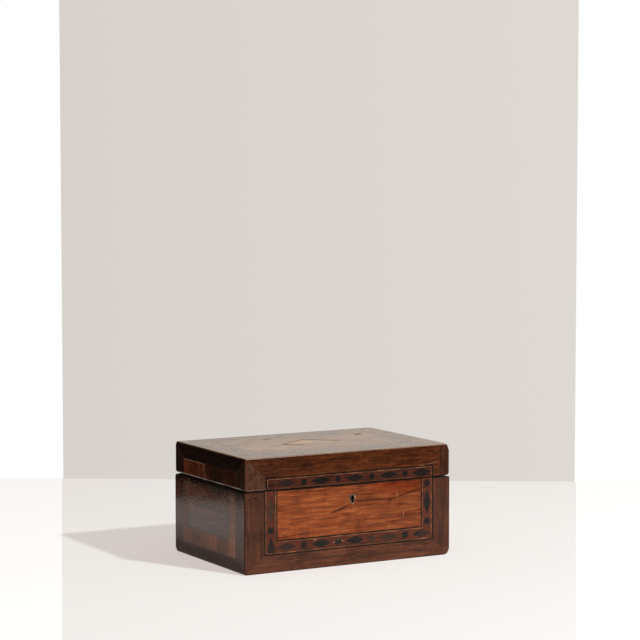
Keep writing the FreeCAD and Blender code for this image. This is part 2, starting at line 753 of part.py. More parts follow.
def up_leg(start, halves):
    """Height on a leg, counted in half pitches from its lowest dot."""
    return f"{leg_low} + {leg_length} * ({start} + leg_pitch_share * ({halves}) / 2)"


def front_veneers(bush_seat):
    low = "front_border_low"
    worn("front_border", BASE_FORM, [
        shaped_plate("front_left_stile", FRONT, [
            (f"-{half_width}", "0"), (inlay_left, low), (inlay_left, mouth_low), (f"-{half_width}", mouth_low)]),
        shaped_plate("front_right_stile", FRONT, [
            (half_width, "0"), (half_width, mouth_low), (inlay_right, mouth_low), (inlay_right, low)]),
        shaped_plate("front_bottom_rail", FRONT, [
            (f"-{half_width}", "0"), (half_width, "0"), (inlay_right, low), (inlay_left, low)]),
    ])
    worn("front_dark_strings", BASE_FORM,
         open_frame("dark_outer", *steps[0:2]) + open_frame("dark_inner", *steps[4:6]))
    worn("front_light_strings", BASE_FORM,
         open_frame("light_outer", *steps[1:3]) + open_frame("light_inner", *steps[3:5]))
    across = (f"{inlay_left} + {steps[5]}", f"{inlay_right} - {steps[5]}")
    panel = plate("front_panel_blank", FRONT, across, (f"{low} + {steps[5]}", mouth_low))
    worn("front_panel", BASE_FORM, [cut("front_panel_cut", panel, bush_seat)])

    left_leg = plate("band_left_leg", FRONT, (f"{inlay_left} + {steps[2]}", row_left), (leg_low, mouth_low))
    right_leg = plate("band_right_leg", FRONT, (f"{inlay_right} - {steps[3]}", row_right), (row_top, mouth_low))
    sill = plate("band_sill", FRONT, (row_left, row_right), (leg_low, row_top))
    sill_up = f"{leg_low} + band_width / 2"
    left_across, right_across = f"{row_left} - band_width / 2", f"{row_right} - band_width / 2"
    left_start, right_start = "left_leg_dot_share", "right_leg_dot_share"
    row_lozenge = lozenge_master("sill_lozenge", "band_width", row_lozenge_length)
    leg_lozenge = lozenge_master("leg_lozenge", "band_width", leg_lozenge_length)
    places = {
        "left_leg": (left_leg, leg_lozenge,
                     [(left_across, up_leg(left_start, 0))],
                     [(left_across, up_leg(left_start, halves)) for halves in (-1, 1)]),
        "right_leg": (right_leg, leg_lozenge,
                      [(right_across, up_leg(right_start, halves)) for halves in (0, 2)],
                      [(right_across, up_leg(right_start, 1))]),
        "sill": (sill, row_lozenge, *pattern_row(sill_up)),
    }
    all_discs, all_points, strips = [], [], []
    for name, (strip, lozenge, dots, lozenges) in places.items():
        discs, points, pierced = inlays(name, strip, "band_width", lozenge, dots, lozenges, name != "sill")
        all_discs += discs
        all_points += points
        strips.append(pierced)
    worn("front_band", BASE_FORM, strips)
    keep(group("front_dots", all_discs))
    keep(group("front_lozenges", all_points))


def hood(name, outer, inner):
    """Two short legs and a head over the lid's band, between two distances in from the border."""
    low, high = f"{inlay_top} - {inner}", f"{inlay_top} - {outer}"
    left, right = f"{lid_inlay_left} + {inner}", f"{inlay_right} - {inner}"
    return [
        plate(f"{name}_left_leg", FRONT, (f"{lid_inlay_left} + {outer}", left), (mouth_high, high)),
        plate(f"{name}_right_leg", FRONT, (right, f"{inlay_right} - {outer}"), (mouth_high, high)),
        plate(f"{name}_head", FRONT, (left, right), (low, high)),
    ]


def lid_front_veneers():
    stile = f"({lid_half} - lid_stile_right)"
    worn("lid_front_border", LID_FORM, [
        shaped_plate("lid_left_stile", FRONT, [
            (f"-{lid_half}", mouth_high), (lid_inlay_left, mouth_high), (lid_inlay_left, inlay_top),
            (f"-{lid_half}", lid_core_top)]),
        plate("lid_right_stile", FRONT, (stile, lid_half), (mouth_high, lid_core_top)),
        shaped_plate("lid_front_top_rail", FRONT, [
            (lid_inlay_left, inlay_top), (stile, inlay_top), (stile, lid_core_top), (f"-{lid_half}", lid_core_top)]),
        plate("lid_front_patch", FRONT, (inlay_right, stile), (mouth_high, inlay_top)),
    ])

    across = (f"{lid_inlay_left} + {steps[2]}", row_right)
    band_low, band_high = f"({mouth_high} + light_string)", f"({inlay_top} - {steps[2]})"
    edging = plate("lid_light_edging", FRONT, across, (mouth_high, band_low))
    worn("lid_front_dark_strings", LID_FORM, hood("lid_dark", *steps[0:2]))
    worn("lid_front_light_strings", LID_FORM, hood("lid_light", *steps[1:3]) + [edging])
    strip = plate("lid_band", FRONT, across, (band_low, band_high))
    middle = f"({band_low} + {band_high}) / 2"
    width = f"({band_high} - {band_low})"
    lozenge = lozenge_master("lid_lozenge", width, row_lozenge_length)
    discs, points, pierced = inlays("lid_band", strip, width, lozenge, *pattern_row(middle))
    worn("lid_front_band", LID_FORM, [pierced])
    keep(group("lid_front_dots", discs))
    keep(group("lid_front_lozenges", points))


# Veneers of the ends, the back and the top

def bevelled(stiles, bevel):
    """Stiles of an end, cut back where the lid leans on the base."""
    return [cut(f"{stile.Name}_bevelled", stile, bevel) for stile in stiles]


def end_veneers(name, side):
    face = end_face(side, core_half)
    low, inner = "end_border_low", f"({core_depth} - end_border_side)"
    stiles = [
        shaped_plate(f"{name}_end_stile_1", face, [
            (f"-{core_depth}", "0"), (f"-{inner}", low), (f"-{inner}", mouth_low),
            (f"-{core_depth}", mouth_low)]),
        shaped_plate(f"{name}_end_stile_2", face, [
            (core_depth, "0"), (core_depth, mouth_low), (inner, mouth_low), (inner, low)]),
    ]
    rail = shaped_plate(f"{name}_end_rail", face, [
        (f"-{core_depth}", "0"), (core_depth, "0"), (inner, low), (f"-{inner}", low)])
    worn(f"{name}_end_border", BASE_FORM, bevelled(stiles, BASE_BEVEL) + [rail])
    band_top = f"({low} + end_band_low)"
    band_in = f"({inner} - end_band_side)"
    pieces = row_of_plates(f"{name}_sill_piece", face, (f"-{inner}", inner), (low, band_top), SILL_PIECES)
    for row, end in enumerate((-1, 1), start=1):
        pieces += row_of_plates(f"{name}_leg_{row}_piece", face, span(end, band_in, inner),
                                (band_top, mouth_low), LEG_PIECES, upright=True)
    worn(f"{name}_end_crossband", BASE_FORM, pieces)
    line_in, line_top = f"({band_in} - end_string)", f"({band_top} + end_string)"
    worn(f"{name}_end_strings", BASE_FORM, [
        plate(f"{name}_string_1", face, span(-1, line_in, band_in), (band_top, mouth_low)),
        plate(f"{name}_string_2", face, span(1, line_in, band_in), (band_top, mouth_low)),
        plate(f"{name}_string_3", face, (f"-{line_in}", line_in), (band_top, line_top)),
    ])
    worn(f"{name}_end_panel", BASE_FORM,
         [plate(f"{name}_end_panel_blank", face, (f"-{line_in}", line_in), (line_top, mouth_low))])


def lid_end_veneers(name, side):
    face = end_face(side, lid_core_half)
    inner = f"({core_depth} - end_border_side)"
    turn = "(box_height - lid_end_border_share * lid_height)"
    stiles = [
        shaped_plate(f"lid_{name}_stile_1", face, [
            (f"-{core_depth}", mouth_high), (f"-{inner}", mouth_high), (f"-{inner}", turn),
            (f"-{core_depth}", lid_core_top)]),
        shaped_plate(f"lid_{name}_stile_2", face, [
            (inner, mouth_high), (core_depth, mouth_high), (core_depth, lid_core_top), (inner, turn)]),
    ]
    head = shaped_plate(f"lid_{name}_head", face, [
        (f"-{inner}", turn), (inner, turn), (core_depth, lid_core_top), (f"-{core_depth}", lid_core_top)])
    worn(f"lid_{name}_border", LID_FORM, bevelled(stiles, LID_BEVEL) + [head])
    worn(f"lid_{name}_crossband", LID_FORM,
         row_of_plates(f"lid_{name}_piece", face, (f"-{inner}", inner), (mouth_high, turn), LID_PIECES))


def back_veneers():
    whole = plate("back_veneer_blank", BACK, (f"-{half_width}", half_width), ("0", mouth_low))
    worn("back_veneer", BASE_FORM, [cut("back_veneer_cut", whole, BASE_BEVEL)])
    whole = plate("lid_back_veneer_blank", BACK, (f"-{lid_half}", lid_half), (mouth_high, lid_core_top))
    worn("lid_back_veneer", LID_FORM, [cut("lid_back_veneer_cut", whole, LID_BEVEL)])


def rectangle(across, up):
    """Corners of a rectangle about the middle, from the front left one counterclockwise."""
    return [(f"-{across}", f"-{up}"), (across, f"-{up}"), (across, up), (f"-{across}", up)]


def top_veneers():
    wide_in, deep_in = f"({lid_half} - top_border)", "(box_depth / 2 - top_border)"
    corners = rectangle(lid_half, half_depth)
    inner = rectangle(wide_in, deep_in)
    strips = []
    for row, name in enumerate(("front", "right", "back", "left")):
        following = (row + 1) % len(corners)
        strips.append(shaped_plate(f"top_{name}_strip", TOP,
                                   [corners[row], corners[following], inner[following], inner[row]]))
    worn("lid_top_border", LID_FORM, strips)
    across, up = "diamond_length / 2", "diamond_width / 2"
    points = [(across, "0"), ("0", up), (f"-{across}", "0"), ("0", f"-{up}")]
    diamond = shaped_plate("lid_top_diamond", TOP, points)
    field = plate("lid_top_field", TOP, (f"-{wide_in}", wide_in), (f"-{deep_in}", deep_in))
    keep(cut("lid_top_panel", field, diamond))
    keep(diamond)


# The whole box

SCREW = screw_master()
SEAT = screw_seat()
BASE_FORM = base_form()
LID_FORM = lid_form()
BASE_BEVEL = back_bevel()
LID_BEVEL = mirrored_above("lid_bevel", BASE_BEVEL)

base_hinge_takes, lid_hinge_takes = hinges()
lock_takes = lock()
lock_bolt()
link_takes = link_plate()
outer_front = f"-{half_depth}"
bush_blank = keyhole("bush_blank", "bush_wall", outer_front, lock_front)
keep(cut("keyhole_bush", bush_blank, keyhole("bush_keyhole", "0", outer_front, lock_front)))
carcass(BASE_FORM, core_half, "floor_thickness", mouth_low,
        ("front_board", "back_board", "left_end_board", "right_end_board"),
        (lock_takes + [bush_blank], base_hinge_takes + [BASE_BEVEL]))
flat_board("bottom_board", BASE_FORM, core_half, "0", "floor_thickness")
carcass(LID_FORM, lid_core_half, mouth_high, lid_ceiling,
        ("lid_front_rail", "lid_back_rail", "lid_left_rail", "lid_right_rail"),
        (link_takes, lid_hinge_takes + [LID_BEVEL]))
flat_board("lid_top_board", LID_FORM, lid_core_half, lid_ceiling, lid_core_top)
front_veneers(bush_blank)
lid_front_veneers()
for end_name, end_side in SIDES:
    end_veneers(end_name, end_side)
    lid_end_veneers(end_name, end_side)
back_veneers()
top_veneers()
doc.recompute()

failed = [item.Label for item in doc.Objects if "Invalid" in item.State or "Error" in item.State]
failed += [item.Label for item in nodes if item.Shape.isNull() or not item.Shape.isValid()]
if failed:
    raise RuntimeError("these did not build: " + ", ".join(failed))
os.makedirs("parts", exist_ok=True)
for item in nodes:
    item.Shape.exportStep(f"parts/{item.Label}.step")
print(len(nodes), "nodes,", sum(len(item.Shape.Solids) for item in nodes), "solids")
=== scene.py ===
"""Looks of an inlaid keepsake box: aged veneers, stringing, worn polish, brass and the table it stands on."""

import math

import bpy
from bpy.props import FloatProperty, FloatVectorProperty, PointerProperty
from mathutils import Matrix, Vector


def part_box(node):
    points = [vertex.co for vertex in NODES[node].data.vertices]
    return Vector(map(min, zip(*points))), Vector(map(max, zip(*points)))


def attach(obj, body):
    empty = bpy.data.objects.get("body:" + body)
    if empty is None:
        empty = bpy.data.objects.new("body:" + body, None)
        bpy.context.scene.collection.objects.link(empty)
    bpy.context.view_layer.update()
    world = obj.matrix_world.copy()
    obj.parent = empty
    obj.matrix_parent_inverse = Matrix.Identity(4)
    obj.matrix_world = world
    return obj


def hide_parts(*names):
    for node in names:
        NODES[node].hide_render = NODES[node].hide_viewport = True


bl_info = {
    "name": "Inlaid Keepsake Box",
    "version": (1, 0, 0),
    "blender": (4, 5, 0),
    "location": "View3D > Sidebar > Keepsake Box",
    "description": "Dresses the packed keepsake box in aged veneer, inlay and metal",
    "category": "Object",
}

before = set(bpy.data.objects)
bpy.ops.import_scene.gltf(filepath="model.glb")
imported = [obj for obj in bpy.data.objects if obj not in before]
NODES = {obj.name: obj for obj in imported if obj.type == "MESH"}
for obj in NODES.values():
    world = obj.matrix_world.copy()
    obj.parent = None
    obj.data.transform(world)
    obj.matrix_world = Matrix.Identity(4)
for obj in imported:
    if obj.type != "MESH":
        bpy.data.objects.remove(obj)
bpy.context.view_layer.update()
PIECES = {}
MM = 0.001


def corners_mm(node):
    """Lowest and highest corner of a node, in millimetres."""
    low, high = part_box(node)
    return low / MM, high / MM


# Lines of the box that the finishes follow, in millimetres
HALF_WIDTH = corners_mm("left_end_border")[0].x * -1
HALF_DEPTH = corners_mm("front_border")[0].y * -1
HEIGHT = corners_mm("lid_top_border")[1].z
LID_WIDTH = corners_mm("lid_top_border")[1].x
RIM, LID_RIM = corners_mm("front_panel")[1].z, corners_mm("lid_front_border")[0].z
MOUTH = (RIM + LID_RIM) / 2
PANEL_LOW, PANEL_HIGH = corners_mm("front_panel")
STRING_LOW, STRING_HIGH = corners_mm("front_dark_strings")
LID_STRING_LOW, LID_STRING_HIGH = corners_mm("lid_front_dark_strings")
CROSSBAND_LOW, CROSSBAND_HIGH = corners_mm("left_end_crossband")
END_STRING_LOW = corners_mm("left_end_strings")[0]
LID_CROSSBAND_LOW, LID_CROSSBAND_HIGH = corners_mm("lid_left_crossband")
TOP_PANEL_HIGH = corners_mm("lid_top_panel")[1]

# Width of the stile at the right of the lid's front, and how many short pieces each run of cross-banding has
LID_STILE = 13.0
SILL_PIECES, LEG_PIECES, LID_PIECES = 6, 3, 7

# Tones laid on the woods under plain light: marks that age has left, and painted shade, sheen, glints and
# highlights where noted
# Painted shade of the gap at the mouth and close below the lid; on the front's lips it also stands for dirt
SHADE_AND_GRIME = (0.006, 0.003, 0.002, 1.0)
# Painted shade of the gap on the light strings
STRING_GAP_SHADE = (0.012, 0.006, 0.004, 1.0)
BAND_CRACK = (0.005, 0.003, 0.002, 1.0)
# Painted shade in and beside the crack, with stain along it
CRACK_SHADE_AND_STAIN = (0.035, 0.009, 0.004, 1.0)
# Dark streaks in the wood, and painted shade beside the crack's raised edges
PANEL_STREAK_AND_SHADE = (0.085, 0.02, 0.0085, 1.0)
LID_CROSSBAND_STREAK = (0.09, 0.022, 0.009, 1.0)
LID_END_GLOW = (0.07, 0.018, 0.0075, 1.0)
PATCH_GOLD = (0.09, 0.033, 0.01, 1.0)
BAND_RED = (0.13, 0.024, 0.009, 1.0)
CROSSBAND_RED = (0.3, 0.075, 0.03, 1.0)
FADED_INLAY = (0.05, 0.022, 0.011, 1.0)
STILE_BLOOM = (0.115, 0.062, 0.042, 1.0)
# Painted sheen on the cross-banding of the ends
CROSSBAND_SHEEN = (0.25, 0.13, 0.095, 1.0)
# Painted glints of the crazed polish on the ends
CRAZE_GLINT = (0.33, 0.28, 0.27, 1.0)
RAIL_SPECKS = (0.2, 0.095, 0.045, 1.0)
RUBBED_LINE = (0.3, 0.15, 0.075, 1.0)
# Painted highlight along the lid's lower edge on the front
FRONT_LIP_HIGHLIGHT = (0.2, 0.12, 0.09, 1.0)
# Painted highlight along the lid's lower edge on the ends
LIP_HIGHLIGHT = (0.7, 0.58, 0.5, 1.0)
SCRATCH = (0.5, 0.26, 0.13, 1.0)
BAND_CHIP = (0.45, 0.29, 0.17, 1.0)
INLAY_CHIP = (0.24, 0.16, 0.11, 1.0)
CROSSBAND_CHIP = (0.42, 0.29, 0.2, 1.0)
CROSSBAND_EDGE = (0.42, 0.27, 0.16, 1.0)

# Tints laid over a wood's own colour; the front panel's tint also paints shade
GREYED = (0.62, 0.58, 0.56, 1.0)
# Red tint of the front panel's upper right, which also paints shade there
PANEL_RED_AND_SHADE = (0.86, 0.52, 0.18, 1.0)
WARMED_RAIL = (1.0, 0.8, 0.45, 1.0)
WARMED_END = (1.4, 0.97, 0.5, 1.0)
WARMED_CROSSBAND = (1.0, 0.8, 0.7, 1.0)

# Crack across the front panel, as places across and up the front; the keyhole parts it in two
CRACK_LEFT = [(-26, 66), (-21, 67.2), (-17, 69), (-12, 69.8), (-9, 71), (-5, 72.2), (-2, 74.2), (2.2, 76.4)]
CRACK_RIGHT = [(4.4, 78.6), (13, 77.2), (17, 77.6), (21, 77.5), (29, 78), (34, 77.4), (38, 77.8), (47, 77),
               (53, 75.8), (59, 75), (62, 76.8), (67, 77.8), (70, 79.6), (74, 80.2), (81, 82.4), (88, 83.6),
               (95, 85.4), (PANEL_HIGH.x, 86.6)]

# Corners that knocks have rounded, each with the radius of its rounding
KNOCKS = {
    "base": [
        ((HALF_WIDTH, -HALF_DEPTH, 0), 4.6), ((-HALF_WIDTH, HALF_DEPTH, 0), 4.0),
        ((-HALF_WIDTH, -HALF_DEPTH, 0), 1.5), ((HALF_WIDTH, HALF_DEPTH, 0), 4.0),
        ((HALF_WIDTH, -HALF_DEPTH, RIM), 1.6), ((-HALF_WIDTH, HALF_DEPTH, RIM), 2.4),
    ],
    "lid": [
        ((LID_WIDTH, -HALF_DEPTH, HEIGHT), 3.8), ((-LID_WIDTH, HALF_DEPTH, HEIGHT), 1.6),
        ((-LID_WIDTH, -HALF_DEPTH, HEIGHT), 1.2), ((LID_WIDTH, HALF_DEPTH, HEIGHT), 3.5),
        ((LID_WIDTH, -HALF_DEPTH, LID_RIM), 1.4), ((-LID_WIDTH, HALF_DEPTH, LID_RIM), 2.0),
    ],
}

# Directions of the facets that round a knocked corner, and the pieces that a knock can reach
KNOCK_FACETS = [
    (1, 1, 1), (1, 0.5, 1), (1, 1, 0.5), (0.5, 1, 1), (1, 0.3, 0.42), (0.42, 0.3, 1), (1, 0.42, 0.3),
    (0.42, 1, 0.3), (0.3, 1, 0.42), (0.3, 0.42, 1), (1, 0.55, 0.55), (0.55, 1, 0.55), (0.55, 0.55, 1),
]
WORN_NODES = [
    "front_border", "back_veneer", "left_end_border", "right_end_border", "lid_front_border", "lid_back_veneer",
    "lid_top_border", "lid_left_border", "lid_right_border", "front_board", "back_board", "left_end_board",
    "right_end_board", "bottom_board", "lid_front_rail", "lid_back_rail", "lid_left_rail", "lid_right_rail",
    "lid_top_board",
]


def colour_property(name, description, default):
    return FloatVectorProperty(name=name, description=description, subtype="COLOR", size=3, min=0, max=1,
                               default=default)


class WoodColours(bpy.types.PropertyGroup):
    """Colours of the woods and metals, under plain light"""

    panel: colour_property("Front panel", "Orange-brown wood of the front panel", (0.215, 0.049, 0.0135))
    border: colour_property("Borders", "Dark red-brown wood of the borders", (0.0705, 0.0203, 0.0083))
    band: colour_property("Pattern band", "Ground of the lozenge and dot bands", (0.083, 0.0192, 0.0078))
    dark_inlay: colour_property("Dark inlay", "Lozenges, dots and dark strings", (0.014, 0.0085, 0.006))
    light_inlay: colour_property("Light inlay", "Yellowed light strings", (0.235, 0.092, 0.042))
    crossband: colour_property("Cross-banding", "Short pieces on the ends", (0.2, 0.052, 0.016))
    end_panel: colour_property("End panels", "Dark panels of the ends", (0.14, 0.036, 0.013))
    back: colour_property("Back", "Plain veneer of the back", (0.085, 0.028, 0.012))
    top_border: colour_property("Top border", "Faded border of the lid's top", (0.18, 0.09, 0.039))
    top_panel: colour_property("Top panel", "Faded panel of the lid's top", (0.28, 0.15, 0.074))
    diamond: colour_property("Diamond", "Diamond in the lid's top", (0.36, 0.19, 0.083))
    carcass: colour_property("Carcass", "Bare wood inside", (0.26, 0.13, 0.06))
    brass: colour_property("Brass", "Hinges and lock plates", (0.46, 0.31, 0.13))
    bush: colour_property("Keyhole bush", "Dulled brass round the keyhole", (0.13, 0.07, 0.043))
    steel: colour_property("Steel", "Lock, bolt and screws", (0.3, 0.28, 0.26))


class BoxWear(bpy.types.PropertyGroup):
    """How far age has worked on the box"""

    crack_width: FloatProperty(name="Crack width", description="Widest part of the crack in the front panel",
                               default=0.0013, unit="LENGTH", min=0.0001)
    crack_depth: FloatProperty(name="Crack depth", description="Depth of the crack in the front panel",
                               default=0.0008, unit="LENGTH", min=0.0001)
    knocks: FloatProperty(name="Knocked corners", description="Share of the full rounding of the knocked corners",
                          default=1.0, subtype="FACTOR", min=0.05, max=1.0)
    edge_reach: FloatProperty(name="Edge wear", description="How far rubbing reaches in from the edges, in mm",
                              default=1.5, min=0.1)
    ripple: FloatProperty(name="Ripple", description="Height of the waves in the old polish, in mm",
                          default=0.018, min=0.0)


class BoxStage(bpy.types.PropertyGroup):
    """Table, backdrop, light and camera"""

    floor: colour_property("Table", "White table top, as far as it is lit", (0.345, 0.40, 0.41))
    shadow: colour_property("Table shadow", "White table top in the shadow", (0.555, 0.48, 0.45))
    wall: colour_property("Backdrop", "Warm grey backdrop", (0.715, 0.675, 0.63))
    key_power: FloatProperty(name="Key light", description="Power of the main lamp", default=125.0, unit="POWER")
    key_size: FloatProperty(name="Key size", description="Width of the main lamp", default=0.16, unit="LENGTH")
    fill: FloatProperty(name="Fill", description="Strength of the light from all round", default=0.345, min=0.0)
    lens: FloatProperty(name="Lens", description="Focal length of the camera", default=121.47, unit="CAMERA")


def shade(colour, amount):
    """A colour made darker or lighter."""
    return [channel * amount for channel in colour[:3]] + [1.0]


def add_node(tree, kind, inputs=(), **settings):
    """A new shader node, each of its inputs linked to a socket or set to a value."""
    node = tree.nodes.new(kind)
    for name, value in settings.items():
        setattr(node, name, value)
    for socket, value in dict(inputs).items():
        if isinstance(value, bpy.types.NodeSocket):
            tree.links.new(value, node.inputs[socket])
        else:
            node.inputs[socket].default_value = value
    return node


class Finish:
    """One material, built up a step at a time from nodes that measure in millimetres."""

    def __init__(self, name, across="x", up="z"):
        self.material = bpy.data.materials.new(name)
        self.material.use_nodes = True
        self.tree = self.material.node_tree
        self.shader = self.tree.nodes["Principled BSDF"]
        place = self.add("ShaderNodeTexCoord").outputs["Object"]
        self.spot = self.add("ShaderNodeVectorMath", {0: place, "Scale": 1 / MM}, operation="SCALE").outputs[0]
        self.x, self.y, self.z = self.add("ShaderNodeSeparateXYZ", {0: self.spot}).outputs
        axes = {"x": self.x, "y": self.y, "z": self.z}
        self.u, self.v = axes[across], axes[up]
        self.through = axes[({"x", "y", "z"} - {across, up}).pop()]
        self.flat = self.join(self.u, self.v, 0.0)
        self.along, self.crossing = self.u, self.v

    def add(self, kind, inputs=(), **settings):
        return add_node(self.tree, kind, inputs, **settings)

    def math(self, operation, *values):
        return self.add("ShaderNodeMath", enumerate(values), operation=operation).outputs[0]

    def less(self, value, other):
        return self.math("SUBTRACT", value, other)

    def apart(self, value, other):
        """How far two values lie apart."""
        return self.math("ABSOLUTE", self.less(value, other))

    def above_zero(self, value):
        return self.math("GREATER_THAN", value, 0.0)

    def times(self, *values):
        total = values[0]
        for value in values[1:]:
            total = self.math("MULTIPLY", total, value)
        return total

    def join(self, x, y, z):
        return self.add("ShaderNodeCombineXYZ", {0: x, 1: y, 2: z}).outputs[0]

    def sized(self, *parts):
        """Coordinates for a figure, each given as a value and the figure's size along it."""
        return self.join(*(self.math("DIVIDE", value, size) for value, size in parts))

    def noise(self, vector, detail=3.0, roughness=0.55, distortion=0.0):
        return self.add("ShaderNodeTexNoise", {
            "Vector": vector, "Scale": 1.0, "Detail": detail, "Roughness": roughness, "Distortion": distortion,
        }).outputs[0]

    def fade(self, value, start, end, low=0.0, high=1.0):
        """A smooth step from low at start to high at end."""
        return self.add("ShaderNodeMapRange", {0: value, 1: start, 2: end, 3: low, 4: high},
                        interpolation_type="SMOOTHSTEP").outputs[0]

    def choose(self, mask, first, second):
        return self.add("ShaderNodeMix", {0: mask, 2: first, 3: second}, data_type="FLOAT").outputs[0]

    def tint(self, mask, under, over, blend_type="MIX"):
        return self.add("ShaderNodeMix", {0: mask, 6: under, 7: over}, data_type="RGBA",
                        blend_type=blend_type).outputs[2]

    def dim(self, colour, amount):
        return self.add("ShaderNodeHueSaturation", {"Color": colour, "Value": amount}).outputs[0]

    def ramp(self, value, stops):
        node = self.add("ShaderNodeValToRGB", {0: value})
        elements = node.color_ramp.elements
        while len(elements) < len(stops):
            elements.new(0.5)
        for element, (place, colour) in zip(elements, stops):
            element.position = place
            element.color = colour
        return node.outputs[0]

    def stretch(self, length, width, offset=0.0):
        """Coordinates for a figure that is drawn out along the grain."""
        deep = self.math("ADD", self.math("DIVIDE", self.through, width), offset)
        return self.join(self.math("DIVIDE", self.along, length), self.math("DIVIDE", self.crossing, width), deep)

    def even(self, size):
        return self.add("ShaderNodeVectorMath", {0: self.spot, "Scale": 1 / size}, operation="SCALE").outputs[0]

    def blotches(self, size, start, end, low=0.0, high=1.0, detail=2, roughness=0.55):
        """Mask of blotches of about one size, low between them and high on them."""
        return self.fade(self.noise(self.even(size), detail, roughness), start, end, low, high)

    def turn_grain(self, mask):
        """Lets the grain run up the face where the mask is set."""
        self.along = self.choose(mask, self.u, self.v)
        self.crossing = self.choose(mask, self.v, self.u)

    def patch(self, centre, radii, turn=0.0, ragged=0.5, soft=0.6):
        """Mask of a ragged oval on the face."""
        oval = self.add("ShaderNodeMapping", {
            "Vector": self.flat, "Location": (*centre, 0), "Rotation": (0, 0, math.radians(turn)),
            "Scale": (*radii, 1),
        }, vector_type="TEXTURE").outputs[0]
        reach = self.add("ShaderNodeVectorMath", {0: oval}, operation="LENGTH").outputs["Value"]
        rough = self.math("MULTIPLY_ADD", self.noise(self.even(1.7)), ragged * 2, -ragged)
        return self.fade(self.math("ADD", reach, rough), 1.0, 1.0 - soft)

    def marks(self, colour, tone, *ovals, strength=1.0):
        """Ovals of another tone, each given as centre, radii and turn."""
        for centre, radii, turn in ovals:
            colour = self.tint(self.times(self.patch(centre, radii, turn), strength), colour, tone)
        return colour

    def edge_distance(self):
        """Distance from the box's nearest outside edge: the middle one of the distances to its faces."""
        side = self.less(HALF_WIDTH, self.math("ABSOLUTE", self.x))
        deep = self.less(HALF_DEPTH, self.math("ABSOLUTE", self.y))
        mouth = self.apart(self.z, MOUTH)
        level = self.math("MINIMUM", self.math("MINIMUM", self.z, mouth), self.less(HEIGHT, self.z))
        low = self.math("MINIMUM", side, deep)
        high = self.math("MAXIMUM", side, deep)
        return self.math("MAXIMUM", low, self.math("MINIMUM", high, level))

    def close(self, colour, roughness, height, specular=0.5, metallic=0.0):
        shader = self.shader.inputs
        self.tree.links.new(colour, shader["Base Color"])
        self.tree.links.new(roughness, shader["Roughness"])
        bump = self.add("ShaderNodeBump", {"Strength": 1.0, "Distance": MM, "Height": height})
        self.tree.links.new(bump.outputs[0], shader["Normal"])
        shader["Specular IOR Level"].default_value = specular
        shader["Metallic"].default_value = metallic
        return self.material


